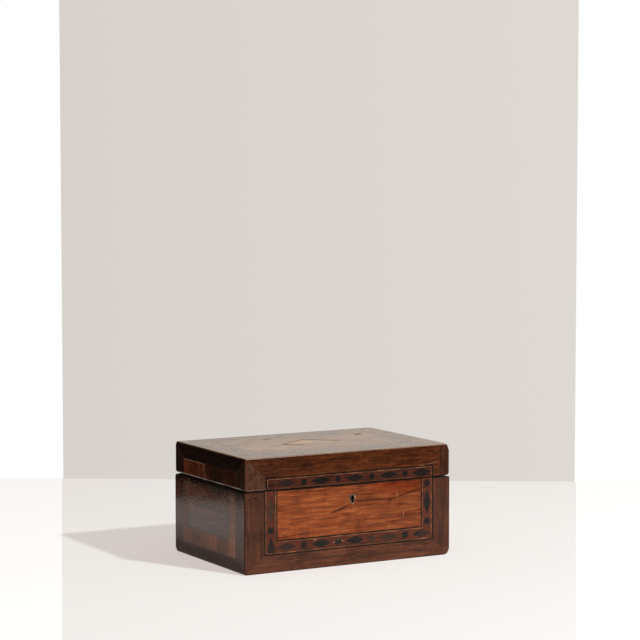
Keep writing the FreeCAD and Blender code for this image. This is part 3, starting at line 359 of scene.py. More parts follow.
class Veneer(Finish):
    """A finish of wood: figure, grain lines, pores, dirt and rubbed edges under a rippled, worn polish, and
    painted shade, glints and highlights where called for.
    """

    def __init__(self, name, across="x", up="z"):
        super().__init__(name, across, up)
        self.colour = self.pores = self.rubbed = None
        self.matt = 0.0

    def lay(self, colour, streak=(75, 6.5), line=(24, 1.7), contrast=1.0, offset=0.0, worn=1.5, tones=None,
            aged=1.0):
        """Lays the wood. Tones, darkest first, take the place of shades of the colour."""
        wear = bpy.context.scene.box_wear
        figure = self.noise(self.stretch(*streak, offset), 4, 0.6, 0.6)
        lines = self.noise(self.stretch(*line, offset), 3, 0.65)
        tone = self.math("MULTIPLY_ADD", lines, 0.45, self.times(figure, 0.55))
        reach = 0.105 / contrast
        tones = tones or [shade(colour, amount) for amount in (0.48, 0.82, 1.1, 1.55)]
        places = (0.5 - reach, 0.5 - reach / 3, 0.5 + reach / 3, 0.5 + reach)
        wood = self.ramp(tone, list(zip(places, tones)))
        self.pores = self.fade(self.noise(self.stretch(6, 0.42, offset), 2), 0.57, 0.66)
        wood = self.tint(self.times(self.pores, 0.6), wood, shade(colour, 0.32))
        age = self.blotches(30, 0.48, 0.7, 0.0, aged, detail=4, roughness=0.6)
        wood = self.tint(age, wood, GREYED, "MULTIPLY")
        flecks = self.times(self.blotches(1.5, 0.64, 0.72, roughness=0.6), self.blotches(26, 0.46, 0.62))
        wood = self.tint(self.times(flecks, 0.5), wood, shade(colour, 2.3))
        ragged = self.math("MULTIPLY_ADD", self.noise(self.even(3.2), 3), 4.4, -2.2)
        self.rubbed = self.fade(self.math("ADD", self.edge_distance(), ragged), wear.edge_reach, 0.2)
        self.colour = self.tint(self.times(self.rubbed, 0.7), wood, shade(colour, worn))

    def mottle(self, amount, size=(7, 2.6), offset=0.0):
        """Short patches along the grain that are darker or lighter than the rest."""
        patches = self.noise(self.stretch(*size, offset), 3, 0.6)
        self.lighten(self.fade(patches, 0.36, 0.64, 1 - amount, 1 + amount))

    def stain(self, tone, *ovals, strength=1.0):
        self.colour = self.marks(self.colour, tone, *ovals, strength=strength)

    def cover(self, mask, tone, blend_type="MIX"):
        self.colour = self.tint(mask, self.colour, tone, blend_type)

    def lighten(self, amount):
        self.colour = self.dim(self.colour, amount)

    def seam(self, distance, tone, strength=0.8):
        """A glue line where a distance is zero."""
        self.cover(self.fade(self.math("ABSOLUTE", distance), 0.12, 0.45, strength, 0.0), tone)

    def mouth_shade_and_dirt(self, reach=1.9):
        """Painted shade of the gap along the mouth of the box on its front, with dirt on the worn lips."""
        near = self.fade(self.apart(self.z, MOUTH), reach, reach * 0.55)
        uneven = self.blotches(18, 0.36, 0.56, 0.75, 0.97, detail=3)
        front = self.fade(self.y, -HALF_DEPTH + 3, -HALF_DEPTH + 2)
        self.cover(self.times(near, uneven, front), SHADE_AND_GRIME)
        self.matt = self.times(near, front, 0.6)

    def paint_craze_glints(self, strength):
        """Painted glints: pale specks on the upper part of an end, where its crazed polish catches the light."""
        drawn_out = self.sized((self.y, 3.2), (self.z, 1.7), (self.x, 1.0))
        specks = self.fade(self.noise(drawn_out, 2, 0.6, 0.4), 0.55, 0.68)
        patches = self.blotches(9, 0.38, 0.6, 0.35, 1.0)
        zone = self.times(self.fade(self.z, 50, 76), self.fade(self.z, RIM - 1, RIM - 8))
        self.cover(self.times(specks, patches, zone, strength), CRAZE_GLINT)

    def shade_under_lid(self, reach=13.0):
        """Painted shade on an end, close below the lid."""
        self.cover(self.fade(self.z, RIM - reach, RIM - 0.5, 0.0, 0.92), SHADE_AND_GRIME)

    def polish(self, gloss, specular=0.5, ripple=(9, 9), swell=1.0, pore_dull=0.06):
        """Closes the finish with its gloss, over waves of the ripple's length across and up the face."""
        wear = bpy.context.scene.box_wear
        waves = self.noise(self.sized((self.u, ripple[0]), (self.v, ripple[1]), (self.through, 1.0)), 3, 0.6)
        height = self.times(waves, swell, wear.ripple * 2.5)
        height = self.math("MULTIPLY_ADD", self.pores, -0.008, height)
        dull = self.noise(self.even(14), 4, 0.6)
        roughness = self.math("MULTIPLY_ADD", dull, 0.2, gloss - 0.1)
        roughness = self.math("MULTIPLY_ADD", self.rubbed, 0.2, roughness)
        roughness = self.math("MULTIPLY_ADD", self.pores, pore_dull, roughness)
        roughness = self.math("ADD", roughness, self.matt)
        return self.close(self.colour, roughness, height, specular)


def mitre(finish, side, low, corner, inner):
    """Distance above the mitre that runs from an outer corner to an inner one, on both sides of the middle."""
    rise = (inner[1] - corner[1]) / (corner[0] - inner[0])
    gone = finish.less(corner[0], finish.math("ABSOLUTE", side))
    return finish.less(finish.less(low, corner[1]), finish.times(gone, rise))


def body_of(node):
    return "lid" if node.startswith("lid_") else "base"


def dress(material, *names):
    """Gives a material to some nodes, or to the pieces in their place."""
    for name in names:
        for slot in PIECES.get(name, NODES[name]).material_slots:
            slot.material = material


# Pieces that age has given another shape

def copy_node(context, node, name):
    """A merged copy of a node, selected in edit mode."""
    piece = bpy.data.objects.new(name, NODES[node].data.copy())
    context.scene.collection.objects.link(piece)
    bpy.ops.object.select_all(action="DESELECT")
    piece.select_set(True)
    context.view_layer.objects.active = piece
    bpy.ops.mesh.customdata_custom_splitnormals_clear()
    bpy.ops.object.shade_flat()
    bpy.ops.object.mode_set(mode="EDIT")
    bpy.ops.mesh.select_all(action="SELECT")
    bpy.ops.mesh.remove_doubles(threshold=1e-6)
    bpy.ops.mesh.dissolve_limited(angle_limit=math.radians(0.5))
    return piece


def keep_piece(piece, node):
    """Puts a shaped copy in its node's place."""
    bpy.ops.object.mode_set(mode="OBJECT")
    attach(piece, body_of(node))
    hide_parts(node)
    PIECES[node] = piece


def clear_selection(mesh):
    for part in (mesh.vertices, mesh.edges, mesh.polygons):
        part.foreach_set("select", [False] * len(part))


def select_edges(piece, wanted):
    """Select the edges whose two ends pass a test, and tell how many there are."""
    bpy.ops.object.mode_set(mode="OBJECT")
    mesh = piece.data
    clear_selection(mesh)
    found = 0
    for edge in mesh.edges:
        start, end = (mesh.vertices[corner] for corner in edge.vertices)
        if wanted(start.co, end.co):
            edge.select = start.select = end.select = True
            found += 1
    bpy.ops.object.mode_set(mode="EDIT")
    bpy.ops.mesh.select_mode(type="EDGE")
    return found


class KEEPSAKE_OT_cracked_panel(bpy.types.Operator):
    """Cut the shrinkage crack into the front panel"""

    bl_idname = "keepsake.cracked_panel"
    bl_label = "Cracked Front Panel"

    def execute(self, context):
        wear = context.scene.box_wear
        panel = copy_node(context, "front_panel", "cracked_front_panel")
        front = -HALF_DEPTH * MM
        lines = [[Vector((x * MM, front, z * MM)) for x, z in line] for line in (CRACK_LEFT, CRACK_RIGHT)]
        for points in lines:
            self.scribe(panel, points)
        for points in lines:
            self.open_up(panel, points, wear.crack_width, wear.crack_depth)
        keep_piece(panel, "front_panel")
        return {"FINISHED"}

    def scribe(self, panel, points):
        """Cut the outline of the crack into the panel's face."""
        for point in points:
            bpy.ops.mesh.select_all(action="SELECT")
            bpy.ops.mesh.bisect(plane_co=point, plane_no=(1, 0, 0), threshold=1e-7)
        for start, end in zip(points, points[1:]):
            self.select_faces(panel, lambda centre: start.x < centre.x < end.x and centre.y < start.y + 1e-5)
            run = end - start
            bpy.ops.mesh.bisect(plane_co=start, plane_no=(-run.z, 0, run.x), threshold=1e-7)
        bpy.ops.mesh.select_all(action="SELECT")
        bpy.ops.mesh.remove_doubles(threshold=2e-6)

    def open_up(self, panel, points, width, depth):
        """Widen the crack's edges and press their middle line in."""
        self.select_line(panel, points)
        bpy.ops.mesh.bevel(offset=width / 2, offset_type="OFFSET", segments=2, affect="EDGES", clamp_overlap=True)
        self.select_line(panel, points[1:] if points[0].x < 0 else points)
        bpy.ops.transform.translate(value=(0, depth, 0))

    def select_faces(self, panel, wanted):
        bpy.ops.object.mode_set(mode="OBJECT")
        clear_selection(panel.data)
        for face in panel.data.polygons:
            face.select = wanted(face.center)
        bpy.ops.object.mode_set(mode="EDIT")
        bpy.ops.mesh.select_mode(type="FACE")

    def select_line(self, panel, points):
        """Select the edges that lie on the line through some points."""
        def on_line(place):
            for start, end in zip(points, points[1:]):
                run = end - start
                share = min(max((place - start).dot(run) / run.length_squared, 0), 1)
                if (place - start - run * share).length < 4e-6:
                    return True
            return False

        if not select_edges(panel, lambda a, b: on_line(a) and on_line(b) and on_line((a + b) / 2)):
            raise RuntimeError("the crack has no edges to open")


class KEEPSAKE_OT_worn_pieces(bpy.types.Operator):
    """Knock the corners of the box round"""

    bl_idname = "keepsake.worn_pieces"
    bl_label = "Knocked Corners"

    def execute(self, context):
        wear = context.scene.box_wear
        for node in WORN_NODES:
            piece = copy_node(context, node, f"worn_{node}")
            body = body_of(node)
            low, high = corners_mm(node)
            for corner, radius in KNOCKS[body]:
                gaps = [max(low[axis] - corner[axis], corner[axis] - high[axis], 0) for axis in range(3)]
                if max(gaps) < radius:
                    self.knock(Vector(corner) * MM, radius * MM * wear.knocks, body)
            keep_piece(piece, node)
        return {"FINISHED"}

    def knock(self, corner, radius, body):
        """Take a corner off with facets that lie round a ball."""
        half_way = (HEIGHT + LID_RIM if body == "lid" else RIM) / 2 * MM
        ways = Vector([math.copysign(1, side) for side in (corner.x, corner.y, corner.z - half_way)])
        middle = corner - ways * radius
        for facet in KNOCK_FACETS:
            normal = Vector([a * b for a, b in zip(facet, ways)]).normalized()
            bpy.ops.mesh.select_all(action="SELECT")
            bpy.ops.mesh.bisect(plane_co=middle + normal * radius, plane_no=normal, use_fill=True,
                                clear_outer=True, threshold=1e-7)


# Front

class KEEPSAKE_OT_front_veneers(bpy.types.Operator):
    """Finish the front panel, borders, pattern bands and strings"""

    bl_idname = "keepsake.front_veneers"
    bl_label = "Front Veneers"

    def execute(self, context):
        woods = context.scene.box_woods
        self.panel(woods)
        self.border(woods)
        self.lid_border(woods)
        self.bands(woods)
        self.inlays(woods)
        self.strings(woods)
        return {"FINISHED"}

    def panel(self, woods):
        wood = Veneer("orange_panel_wood")
        red, green, blue = woods.panel
        tones = [(red * amount, green * amount * warm, blue * amount * warm, 1.0)
                 for amount, warm in ((0.46, 0.8), (0.82, 0.95), (1.12, 1.05), (1.6, 1.25))]
        wood.lay(woods.panel, streak=(64, 3.8), line=(24, 1.5), contrast=0.8, worn=1.2, tones=tones)
        wood.mottle(0.09, (22, 4), 2.0)
        # Lighter at the left and lower left, redder and darker at the upper right: partly the panel's own tone,
        # partly painted sheen and painted shade where it reflects more or less of the table
        wood.lighten(wood.fade(wood.x, -10, 110, 1.22, 0.97))
        bright = wood.patch((-68, 54), (52, 20), ragged=0.3, soft=0.9)
        wood.lighten(wood.math("MULTIPLY_ADD", bright, 0.16, 1.0))
        redder = wood.patch((75, 94), (70, 18), ragged=0.4, soft=0.9)
        wood.cover(redder, PANEL_RED_AND_SHADE, "MULTIPLY")
        # Dark streaks in the wood; the first three lie along the crack and paint the shade beside its raised edges
        wood.stain(PANEL_STREAK_AND_SHADE, ((-16, 68.5), (16, 3.0), 13), ((30, 79.5), (28, 4), 2),
                   ((84, 82), (24, 2.6), 14), ((50, 57), (16, 4.5), 0), ((82, 52), (18, 3.4), -4),
                   ((34, 48), (12, 2.4), 3), ((-30, 60), (18, 2.2), 5), strength=0.5)
        # Painted shade darkening the crack, with stain along it
        wood.stain(CRACK_SHADE_AND_STAIN, ((-10.5, 70.9), (9.6, 1.5), 17), ((-21, 67.4), (7, 0.9), 15),
                   ((57, 76.4), (5, 1.2), 10), ((14, 77.4), (7, 0.9), -4), strength=0.85)
        wood.stain(SCRATCH, ((67.6, 81), (0.5, 8), 4), ((77, 56), (0.42, 5), 3),
                   ((56, 43), (0.45, 7), -5), ((-72, 76), (1.6, 0.5), 10), strength=0.65)
        # Painted shade of the gap at the mouth, with dirt on the worn lips
        wood.mouth_shade_and_dirt(2.9)
        # Painted shade inside the crack
        crack_shade = wood.fade(wood.y, -HALF_DEPTH + 0.03, -HALF_DEPTH + 0.25)
        wood.cover(crack_shade, shade(woods.panel, 0.06))
        dress(wood.polish(0.26, specular=0.14, ripple=(16, 7)), "front_panel")

    def border(self, woods):
        wood = Veneer("front_border_wood")
        above = mitre(wood, wood.x, wood.z, (HALF_WIDTH, 0.0), (STRING_HIGH.x, STRING_LOW.z))
        stile = wood.above_zero(above)
        wood.turn_grain(stile)
        wood.lay(woods.border, streak=(54, 4.2), line=(20, 1.6), contrast=0.95, offset=3.0)
        wood.mottle(0.11, (10, 1.8), 4.0)
        wood.lighten(wood.choose(stile, 1.5, 1.1))
        wood.lighten(wood.fade(wood.x, 110, 125, 1.0, 0.93))
        wood.seam(above, shade(woods.border, 0.35), 0.6)
        wood.stain(shade(woods.border, 0.16), ((-139, 90.5), (3.6, 1.4), 6), ((-131, 92), (4.2, 1.5), -5),
                   ((-127, 90.6), (2.4, 1.3), 20), ((-142.4, 74), (1.8, 1.5), 0), ((-141.2, 70), (2.4, 1.1), 30),
                   ((-136, 84), (1.2, 3.4), 0), strength=0.85)
        wood.stain(shade(woods.border, 2.2), ((138, 8), (5, 4), 30), ((134, 4), (9, 1.6), 0),
                   ((143, 46), (1, 16), 0), ((-143.6, 10), (1.6, 8), 0), strength=0.45)
        # Painted shade along the left edge, where the front turns to the shaded end, and a painted contact shadow
        # along the foot
        corner = wood.fade(wood.x, -HALF_WIDTH + 1.8, -HALF_WIDTH + 0.9, 0.0, 0.7)
        foot_shadow = wood.fade(wood.z, 1.8, 0.8, 0.0, 0.6)
        wood.cover(wood.math("MAXIMUM", corner, foot_shadow), shade(woods.border, 0.2))
        # Painted shade of the gap at the mouth, with dirt on the worn lips
        wood.mouth_shade_and_dirt(2.8)
        dress(wood.polish(0.26, specular=0.22, ripple=(12, 12)), "front_border")

    def lid_border(self, woods):
        wood = Veneer("lid_front_border_wood")
        rise = wood.less(HEIGHT, wood.z)
        slant = (LID_STRING_LOW.x + LID_WIDTH) / (HEIGHT - LID_STRING_HIGH.z)
        joint = wood.math("MINIMUM", wood.math("MULTIPLY_ADD", rise, slant, -LID_WIDTH), LID_STRING_LOW.x)
        left = wood.less(joint, wood.x)
        right = wood.less(wood.x, LID_WIDTH - LID_STILE)
        wood.turn_grain(wood.above_zero(wood.math("MAXIMUM", left, right)))
        wood.lay(woods.border, streak=(40, 4.2), line=(14, 1.7), contrast=1.05, offset=9.0, worn=1.2)
        wood.mottle(0.18, (7, 2.2), 4.0)
        rail = wood.times(wood.fade(left, 2, -2), wood.fade(right, 0.2, -0.2))
        warm = wood.fade(wood.x, LID_STRING_LOW.x, LID_STRING_LOW.x + 50, 0.5, 1.0)
        wood.cover(wood.times(rail, warm), WARMED_RAIL, "MULTIPLY")
        wood.lighten(wood.math("MULTIPLY_ADD", rail, 0.08, 1.0))
        speckle = wood.blotches(2.6, 0.42, 0.62, detail=3, roughness=0.7)
        wood.cover(wood.times(wood.fade(left, -1.5, 1.5), speckle, 0.5), STILE_BLOOM)
        specks = wood.blotches(1.6, 0.6, 0.68)
        wood.cover(wood.times(specks, wood.patch((133, 132), (20, 12), soft=0.8), 0.7), RAIL_SPECKS)
        wood.lighten(wood.fade(right, -0.3, 0.3, 1.0, 0.76))
        golden = wood.patch((125.6, 108), (6, 8), soft=0.5)
        wood.cover(wood.times(golden, 0.15), PATCH_GOLD)
        wood.seam(right, shade(woods.border, 0.35), 0.5)
        wood.stain(RUBBED_LINE, ((119, 117.2), (12, 0.45), 4), ((104, 115.6), (7, 0.4), 1),
                   ((-40, 116.0), (9, 0.3), 0), strength=0.65)
        # Painted shade of the gap at the mouth, with dirt on the worn lips
        wood.mouth_shade_and_dirt(1.3)
        # Painted highlight along the lid's lower edge, at the left of the front
        over = wood.fade(wood.z, LID_RIM + 2.0, LID_RIM + 1.5)
        under = wood.fade(wood.z, LID_RIM + 0.3, LID_RIM + 0.7)
        wood.cover(wood.times(over, under, wood.fade(left, -2, 2), 0.4), FRONT_LIP_HIGHLIGHT)
        dress(wood.polish(0.26, specular=0.17, ripple=(14, 12)), "lid_front_border")

    def bands(self, woods):
        wood = Veneer("pattern_band_wood")
        middle, reach = (PANEL_LOW.x + PANEL_HIGH.x) / 2, (PANEL_HIGH.x - PANEL_LOW.x) / 2
        leg = wood.math("GREATER_THAN", wood.apart(wood.x, middle), reach + 2.7)
        wood.turn_grain(wood.times(leg, wood.math("LESS_THAN", wood.z, MOUTH)))
        wood.lay(woods.band, streak=(38, 4.5), contrast=1.2, offset=5.0, worn=1.4)
        wood.cover(wood.times(wood.blotches(20, 0.42, 0.62), 0.45), BAND_RED)
        wood.stain(BAND_CHIP, ((-22.2, 30.2), (1.5, 0.7), 0), ((-10.4, 30.8), (1.7, 0.7), 0),
                   ((-49, 35.2), (2.4, 0.8), -6), strength=0.9)
        wood.stain(BAND_CRACK, ((109, 88.4), (7.5, 0.9), 14), strength=0.9)
        wood.lighten(wood.fade(wood.z, MOUTH - 0.1, MOUTH + 0.1, 1.0, 0.64))
        # Painted shade of the gap at the mouth, with dirt on the worn lips
        wood.mouth_shade_and_dirt(1.6)
        dress(wood.polish(0.26, specular=0.2), "front_band", "lid_front_band")

    def inlays(self, woods):
        wood = Veneer("dark_inlay_wood")
        wood.lay(woods.dark_inlay, streak=(30, 4), offset=7.0, worn=2.0)
        for centre, radii, strength in (
            ((-109.4, 75.8), (9, 24), 0.95), ((55.2, 30.2), (20, 9), 0.6), ((31.3, 30.2), (6, 6), 0.7),
            ((-88.1, 30.2), (18, 9), 0.45), ((-88.1, 107), (20, 9), 0.4), ((106, 28), (10, 9), 0.4),
        ):
            faded = wood.patch(centre, radii, ragged=0.25, soft=0.25)
            wood.cover(wood.times(faded, strength), FADED_INLAY)
        wood.lighten(wood.fade(wood.z, MOUTH - 0.1, MOUTH + 0.1, 1.0, 0.6))
        wood.stain(INLAY_CHIP, ((-16.6, 32.6), (2.2, 0.8), 0), ((-50, 34.4), (3, 0.5), -8), strength=0.7)
        dress(wood.polish(0.28, specular=0.2), "front_lozenges", "front_dots", "lid_front_lozenges",
              "lid_front_dots")

    def strings(self, woods):
        wood = Veneer("dark_string_wood")
        wood.lay(shade(woods.dark_inlay, 0.55), streak=(25, 25), offset=11.0, worn=2.0)
        # Painted shade of the gap at the mouth, with dirt on the worn lips
        wood.mouth_shade_and_dirt(1.6)
        dress(wood.polish(0.3, specular=0.12), "front_dark_strings", "lid_front_dark_strings")
        wood = Veneer("light_string_wood")
        wood.lay(woods.light_inlay, streak=(30, 30), offset=13.0, worn=1.0)
        grime = wood.blotches(13, 0.44, 0.58, detail=3, roughness=0.7)
        wood.cover(wood.times(grime, 0.7), shade(woods.light_inlay, 0.3))
        # Painted shade of the gap on the light strings along the mouth, weaker in a patch at the left of the lid's
        # edge
        pale = wood.patch((-80, LID_RIM), (34, 3.0), ragged=0.3)
        gap_shade = wood.fade(wood.apart(wood.z, MOUTH), 1.9, 1.5)
        wood.cover(wood.times(gap_shade, wood.math("MULTIPLY_ADD", pale, -0.3, 0.5)), STRING_GAP_SHADE)
        dress(wood.polish(0.3, specular=0.16), "front_light_strings", "lid_front_light_strings")


# Ends

class KEEPSAKE_OT_end_veneers(bpy.types.Operator):
    """Finish the borders, cross-banding, strings and panels of both ends"""

    bl_idname = "keepsake.end_veneers"
    bl_label = "End Veneers"

    def execute(self, context):
        woods = context.scene.box_woods
        self.border(woods)
        self.lid_border(woods)
        self.crossband(woods)
        self.lid_crossband(woods)
        self.panel(woods)
        self.strings(woods)
        return {"FINISHED"}

    def border(self, woods):
        wood = Veneer("end_border_wood", across="y")
        outer = corners_mm("left_end_border")[1].y
        above = mitre(wood, wood.y, wood.z, (outer, 0.0), (CROSSBAND_HIGH.y, CROSSBAND_LOW.z))
        wood.turn_grain(wood.above_zero(above))
        wood.lay(woods.border, streak=(60, 5.5), offset=15.0, contrast=1.2)
        wood.cover(wood.fade(wood.z, 14, 30), WARMED_END, "MULTIPLY")
        # Painted shade: darker towards the bottom, where the end reflects the shaded table
        wood.lighten(wood.fade(wood.z, 20, 8, 1.0, 0.8))
        wood.seam(above, shade(woods.border, 0.3))
        wood.stain(shade(woods.border, 0.1), ((76, 22), (2.2, 1.8), 0), ((83, 60), (1, 3), 0), strength=0.9)
        wood.matt = wood.fade(wood.z, 30, 10, 0.0, 0.36)
        # Painted shade close below the lid
        wood.shade_under_lid()
        # Painted glints on the crazed polish
        wood.paint_craze_glints(0.65)
        dress(wood.polish(0.14, specular=0.24, ripple=(7, 2.8)), "left_end_border", "right_end_border")

    def lid_border(self, woods):
        wood = Veneer("lid_end_border_wood", across="y")
        corner = (corners_mm("left_end_border")[1].y, corners_mm("lid_left_border")[1].z)
        above = mitre(wood, wood.y, wood.z, corner, (CROSSBAND_HIGH.y, LID_CROSSBAND_HIGH.z))
        wood.turn_grain(wood.math("LESS_THAN", above, 0.0))
        wood.lay(shade(woods.border, 0.6), streak=(60, 5.5), offset=21.0, contrast=1.3)
        wood.lighten(wood.fade(above, -0.2, 0.2, 1.0, 0.42))
        streaks = wood.sized((wood.x, 1.0), (wood.y, 4), (wood.z, 8))
        glow = wood.fade(wood.noise(streaks, 3, 0.7), 0.52, 0.66)
        wood.cover(wood.times(glow, 0.5), LID_END_GLOW)
        wood.seam(above, shade(woods.border, 0.3))
        pale = wood.fade(wood.math("ABSOLUTE", above), 0.5, 0.2)
        wood.cover(wood.times(pale, wood.fade(wood.y, 40, 60), 0.6), shade(woods.light_inlay, 0.8))
        # Painted highlight along the lid's lower edge
        self.paint_lip_highlight(wood)
        dress(wood.polish(0.15, specular=0.16, ripple=(8, 3), swell=0.8), "lid_left_border", "lid_right_border")

    def paint_lip_highlight(self, wood):
        """Painted highlight along the lid's rounded lower edge."""
        broken = wood.blotches(15, 0.36, 0.58, 0.15, 0.85, detail=3)
        wood.cover(wood.times(wood.fade(wood.z, LID_RIM + 2.7, LID_RIM + 2.2), broken), LIP_HIGHLIGHT)

    def pieces(self, finish, place, start, length, count):
        """Which of several equal pieces a place is on, and the distance to that piece's nearest end."""
        piece = finish.math("DIVIDE", finish.less(place, start), length / count)
        number = finish.math("FLOOR", piece)
        past = finish.math("FRACT", piece)
        near = finish.math("MINIMUM", past, finish.less(1.0, past))
        return number, finish.times(near, length / count)

    def toned(self, wood, number, near, tone):
        """Each piece in a tone of its own, with a dark joint between."""
        value = wood.add("ShaderNodeTexWhiteNoise", {"W": number}, noise_dimensions="1D").outputs["Value"]
        wood.lighten(wood.fade(value, 0.0, 1.0, 0.72, 1.3))
        wood.seam(near, tone)

    def crossband(self, woods):
        wood = Veneer("crossband_wood", across="y")
        leg = wood.math("GREATER_THAN", wood.z, END_STRING_LOW.z)
        wood.turn_grain(wood.less(1.0, leg))
        wood.lay(woods.crossband, streak=(40, 4.2), line=(22, 1.9), offset=17.0)
        sill, sill_end = self.pieces(wood, wood.y, CROSSBAND_LOW.y, CROSSBAND_HIGH.y * 2, SILL_PIECES)
        side, side_end = self.pieces(wood, wood.z, END_STRING_LOW.z, RIM - END_STRING_LOW.z, LEG_PIECES)
        side = wood.math("ADD", side, wood.times(wood.math("SIGN", wood.y), 21.0))
        number = wood.choose(leg, sill, side)
        near = wood.choose(leg, sill_end, side_end)
        self.toned(wood, number, near, shade(woods.crossband, 0.4))
        # Painted light: lighter towards the bottom, where light bounced from the table is stronger
        wood.lighten(wood.fade(wood.z, 50, 22, 1.0, 1.35))
        # Painted sheen: lighter and greyer on the front leg, where the end reflects more of the table, with a
        # faint grey sheen over the rest
        front = wood.fade(wood.y, -50, -62)
        wood.lighten(wood.math("MULTIPLY_ADD", front, 0.9, 1.0))
        wood.cover(wood.math("MULTIPLY_ADD", front, 0.3, 0.15), CROSSBAND_SHEEN)
        wood.stain(CROSSBAND_RED, ((-60, 95), (7, 2.5), 0), ((-60, 58), (5, 2.2), 0),
                   ((-57, 49), (3.5, 1.2), 0), ((63, 94), (6, 3.5), 0), strength=0.8)
        # Painted shade close below the lid
        wood.shade_under_lid()
        # Painted glints on the crazed polish
        wood.paint_craze_glints(0.75)
        dress(wood.polish(0.14, specular=0.17, ripple=(6, 2.6), swell=1.5), "left_end_crossband",
              "right_end_crossband")

    def lid_crossband(self, woods):
        wood = Veneer("lid_crossband_wood", across="y")
        wood.turn_grain(1.0)
        wood.lay(woods.crossband, streak=(40, 4.2), line=(22, 1.9), offset=19.0)
        number, near = self.pieces(wood, wood.y, LID_CROSSBAND_LOW.y, LID_CROSSBAND_HIGH.y * 2, LID_PIECES)
        self.toned(wood, wood.math("ADD", number, 31.0), near, shade(woods.crossband, 0.4))
        wood.lighten(wood.fade(wood.y, -15, 30, 0.26, 0.8))
        wood.cover(0.6, WARMED_CROSSBAND, "MULTIPLY")
        wood.stain(CROSSBAND_CHIP, ((15.5, 114.5), (0.7, 7), 28), ((11.4, 105.5), (0.7, 6), 8),
                   ((17, 119.6), (3, 0.6), -20), strength=0.9)
        wood.stain(LID_CROSSBAND_STREAK, ((-46, 105), (14, 4), 0), strength=0.6)
        edge = wood.less(LID_CROSSBAND_HIGH.z, wood.z)
        broken = wood.times(wood.blotches(17, 0.36, 0.5, detail=3), wood.fade(wood.y, 5, 25))
        wood.cover(wood.times(wood.fade(edge, 0.9, 0.5), broken, 0.85), CROSSBAND_EDGE)
        # Painted highlight along the lid's lower edge
        self.paint_lip_highlight(wood)
        dress(wood.polish(0.15, specular=0.12, ripple=(8, 3)), "lid_left_crossband", "lid_right_crossband")

    def panel(self, woods):
        wood = Veneer("end_panel_wood", across="y")
        wood.lay(woods.end_panel, streak=(70, 6), offset=23.0, contrast=1.2)
        wood.stain(shade(woods.end_panel, 0.12), ((-42, 60), (6, 1.5), -6), ((-3, 45), (2, 1), 0),
                   ((-30, 66), (3, 0.8), 10), strength=0.9)
        # Painted shade close below the lid
        wood.shade_under_lid()
        # Painted glints on the crazed polish
        wood.paint_craze_glints(0.85)
        dress(wood.polish(0.11, specular=0.29, ripple=(6, 2.6), swell=1.8), "left_end_panel", "right_end_panel")

    def strings(self, woods):
        wood = Veneer("end_string_wood", across="y")
        wood.lay(woods.dark_inlay, streak=(25, 25), offset=37.0)
        pale = wood.times(wood.fade(wood.y, 50, 53), wood.fade(wood.z, 58, 68))
        wood.cover(wood.times(pale, 0.9), shade(woods.light_inlay, 1.6))
        dress(wood.polish(0.2, specular=0.3), "left_end_strings", "right_end_strings")


# Top and back

class KEEPSAKE_OT_top_veneers(bpy.types.Operator):
    """Finish the faded border, panel and diamond of the lid's top"""

    bl_idname = "keepsake.top_veneers"
    bl_label = "Top Veneers"

    def execute(self, context):
        woods = context.scene.box_woods
        self.border(woods)
        self.panel(woods)
        self.diamond(woods)
        return {"FINISHED"}

    def border(self, woods):
        wood = Veneer("top_border_wood", up="y")
        side = wood.less(wood.math("ABSOLUTE", wood.x), TOP_PANEL_HIGH.x)
        deep = wood.less(wood.math("ABSOLUTE", wood.y), TOP_PANEL_HIGH.y)
        past = wood.less(side, deep)
        wood.turn_grain(wood.above_zero(past))
        wood.lay(woods.top_border, streak=(90, 9), line=(30, 3.2), offset=25.0, worn=0.7, aged=0.35)
        wood.seam(past, shade(woods.top_border, 0.4))
        scuffs = wood.fade(wood.noise(wood.stretch(14, 5, 2.0), 4, 0.7), 0.5, 0.64)
        wood.matt = wood.times(scuffs, 0.12)
        dress(wood.polish(0.15, ripple=(14, 10), swell=0.7, pore_dull=0.25), "lid_top_border")

    def panel(self, woods):
        wood = Veneer("top_panel_wood", up="y")
        wood.lay(woods.top_panel, streak=(120, 12), line=(40, 4), contrast=0.8, offset=27.0, aged=0.3)
        dents = wood.math("MAXIMUM", wood.patch((92, 42), (9, 4), 20, soft=0.3),
                          wood.patch((-36, 53), (7, 2.6), soft=0.3))
        wood.cover(wood.times(dents, 0.8), shade(woods.top_panel, 0.2))
        wood.matt = wood.times(dents, 0.7)
        dress(wood.polish(0.2, ripple=(14, 10), swell=0.7, pore_dull=0.2), "lid_top_panel")

    def diamond(self, woods):
        wood = Veneer("diamond_wood", up="y")
        wood.lay(woods.diamond, streak=(60, 9), contrast=0.8, offset=29.0, aged=0.3)
        half = corners_mm("lid_top_diamond")[1]
        share = wood.math("ADD", wood.math("DIVIDE", wood.math("ABSOLUTE", wood.x), half.x),
                          wood.math("DIVIDE", wood.math("ABSOLUTE", wood.y), half.y))
        kept = wood.above_zero(wood.times(wood.x, wood.y))
        lost = wood.fade(wood.apart(wood.x, -9.0), 8.0, 11.0)
        kept = wood.times(kept, lost, wood.fade(wood.x, -5, 5, 0.65, 1.0))
        kept = wood.math("MAXIMUM", kept, wood.times(wood.above_zero(wood.y), 0.35))
        # Painted shadow and dark gaps along the diamond's lifted edges, on the sides where they show
        edge = wood.times(wood.fade(share, 0.81, 0.87), kept)
        wood.cover(edge, shade(woods.top_border, 0.12))
        wood.matt = wood.times(edge, 0.7)
        dress(wood.polish(0.2, ripple=(14, 10), swell=0.7, pore_dull=0.2), "lid_top_diamond")


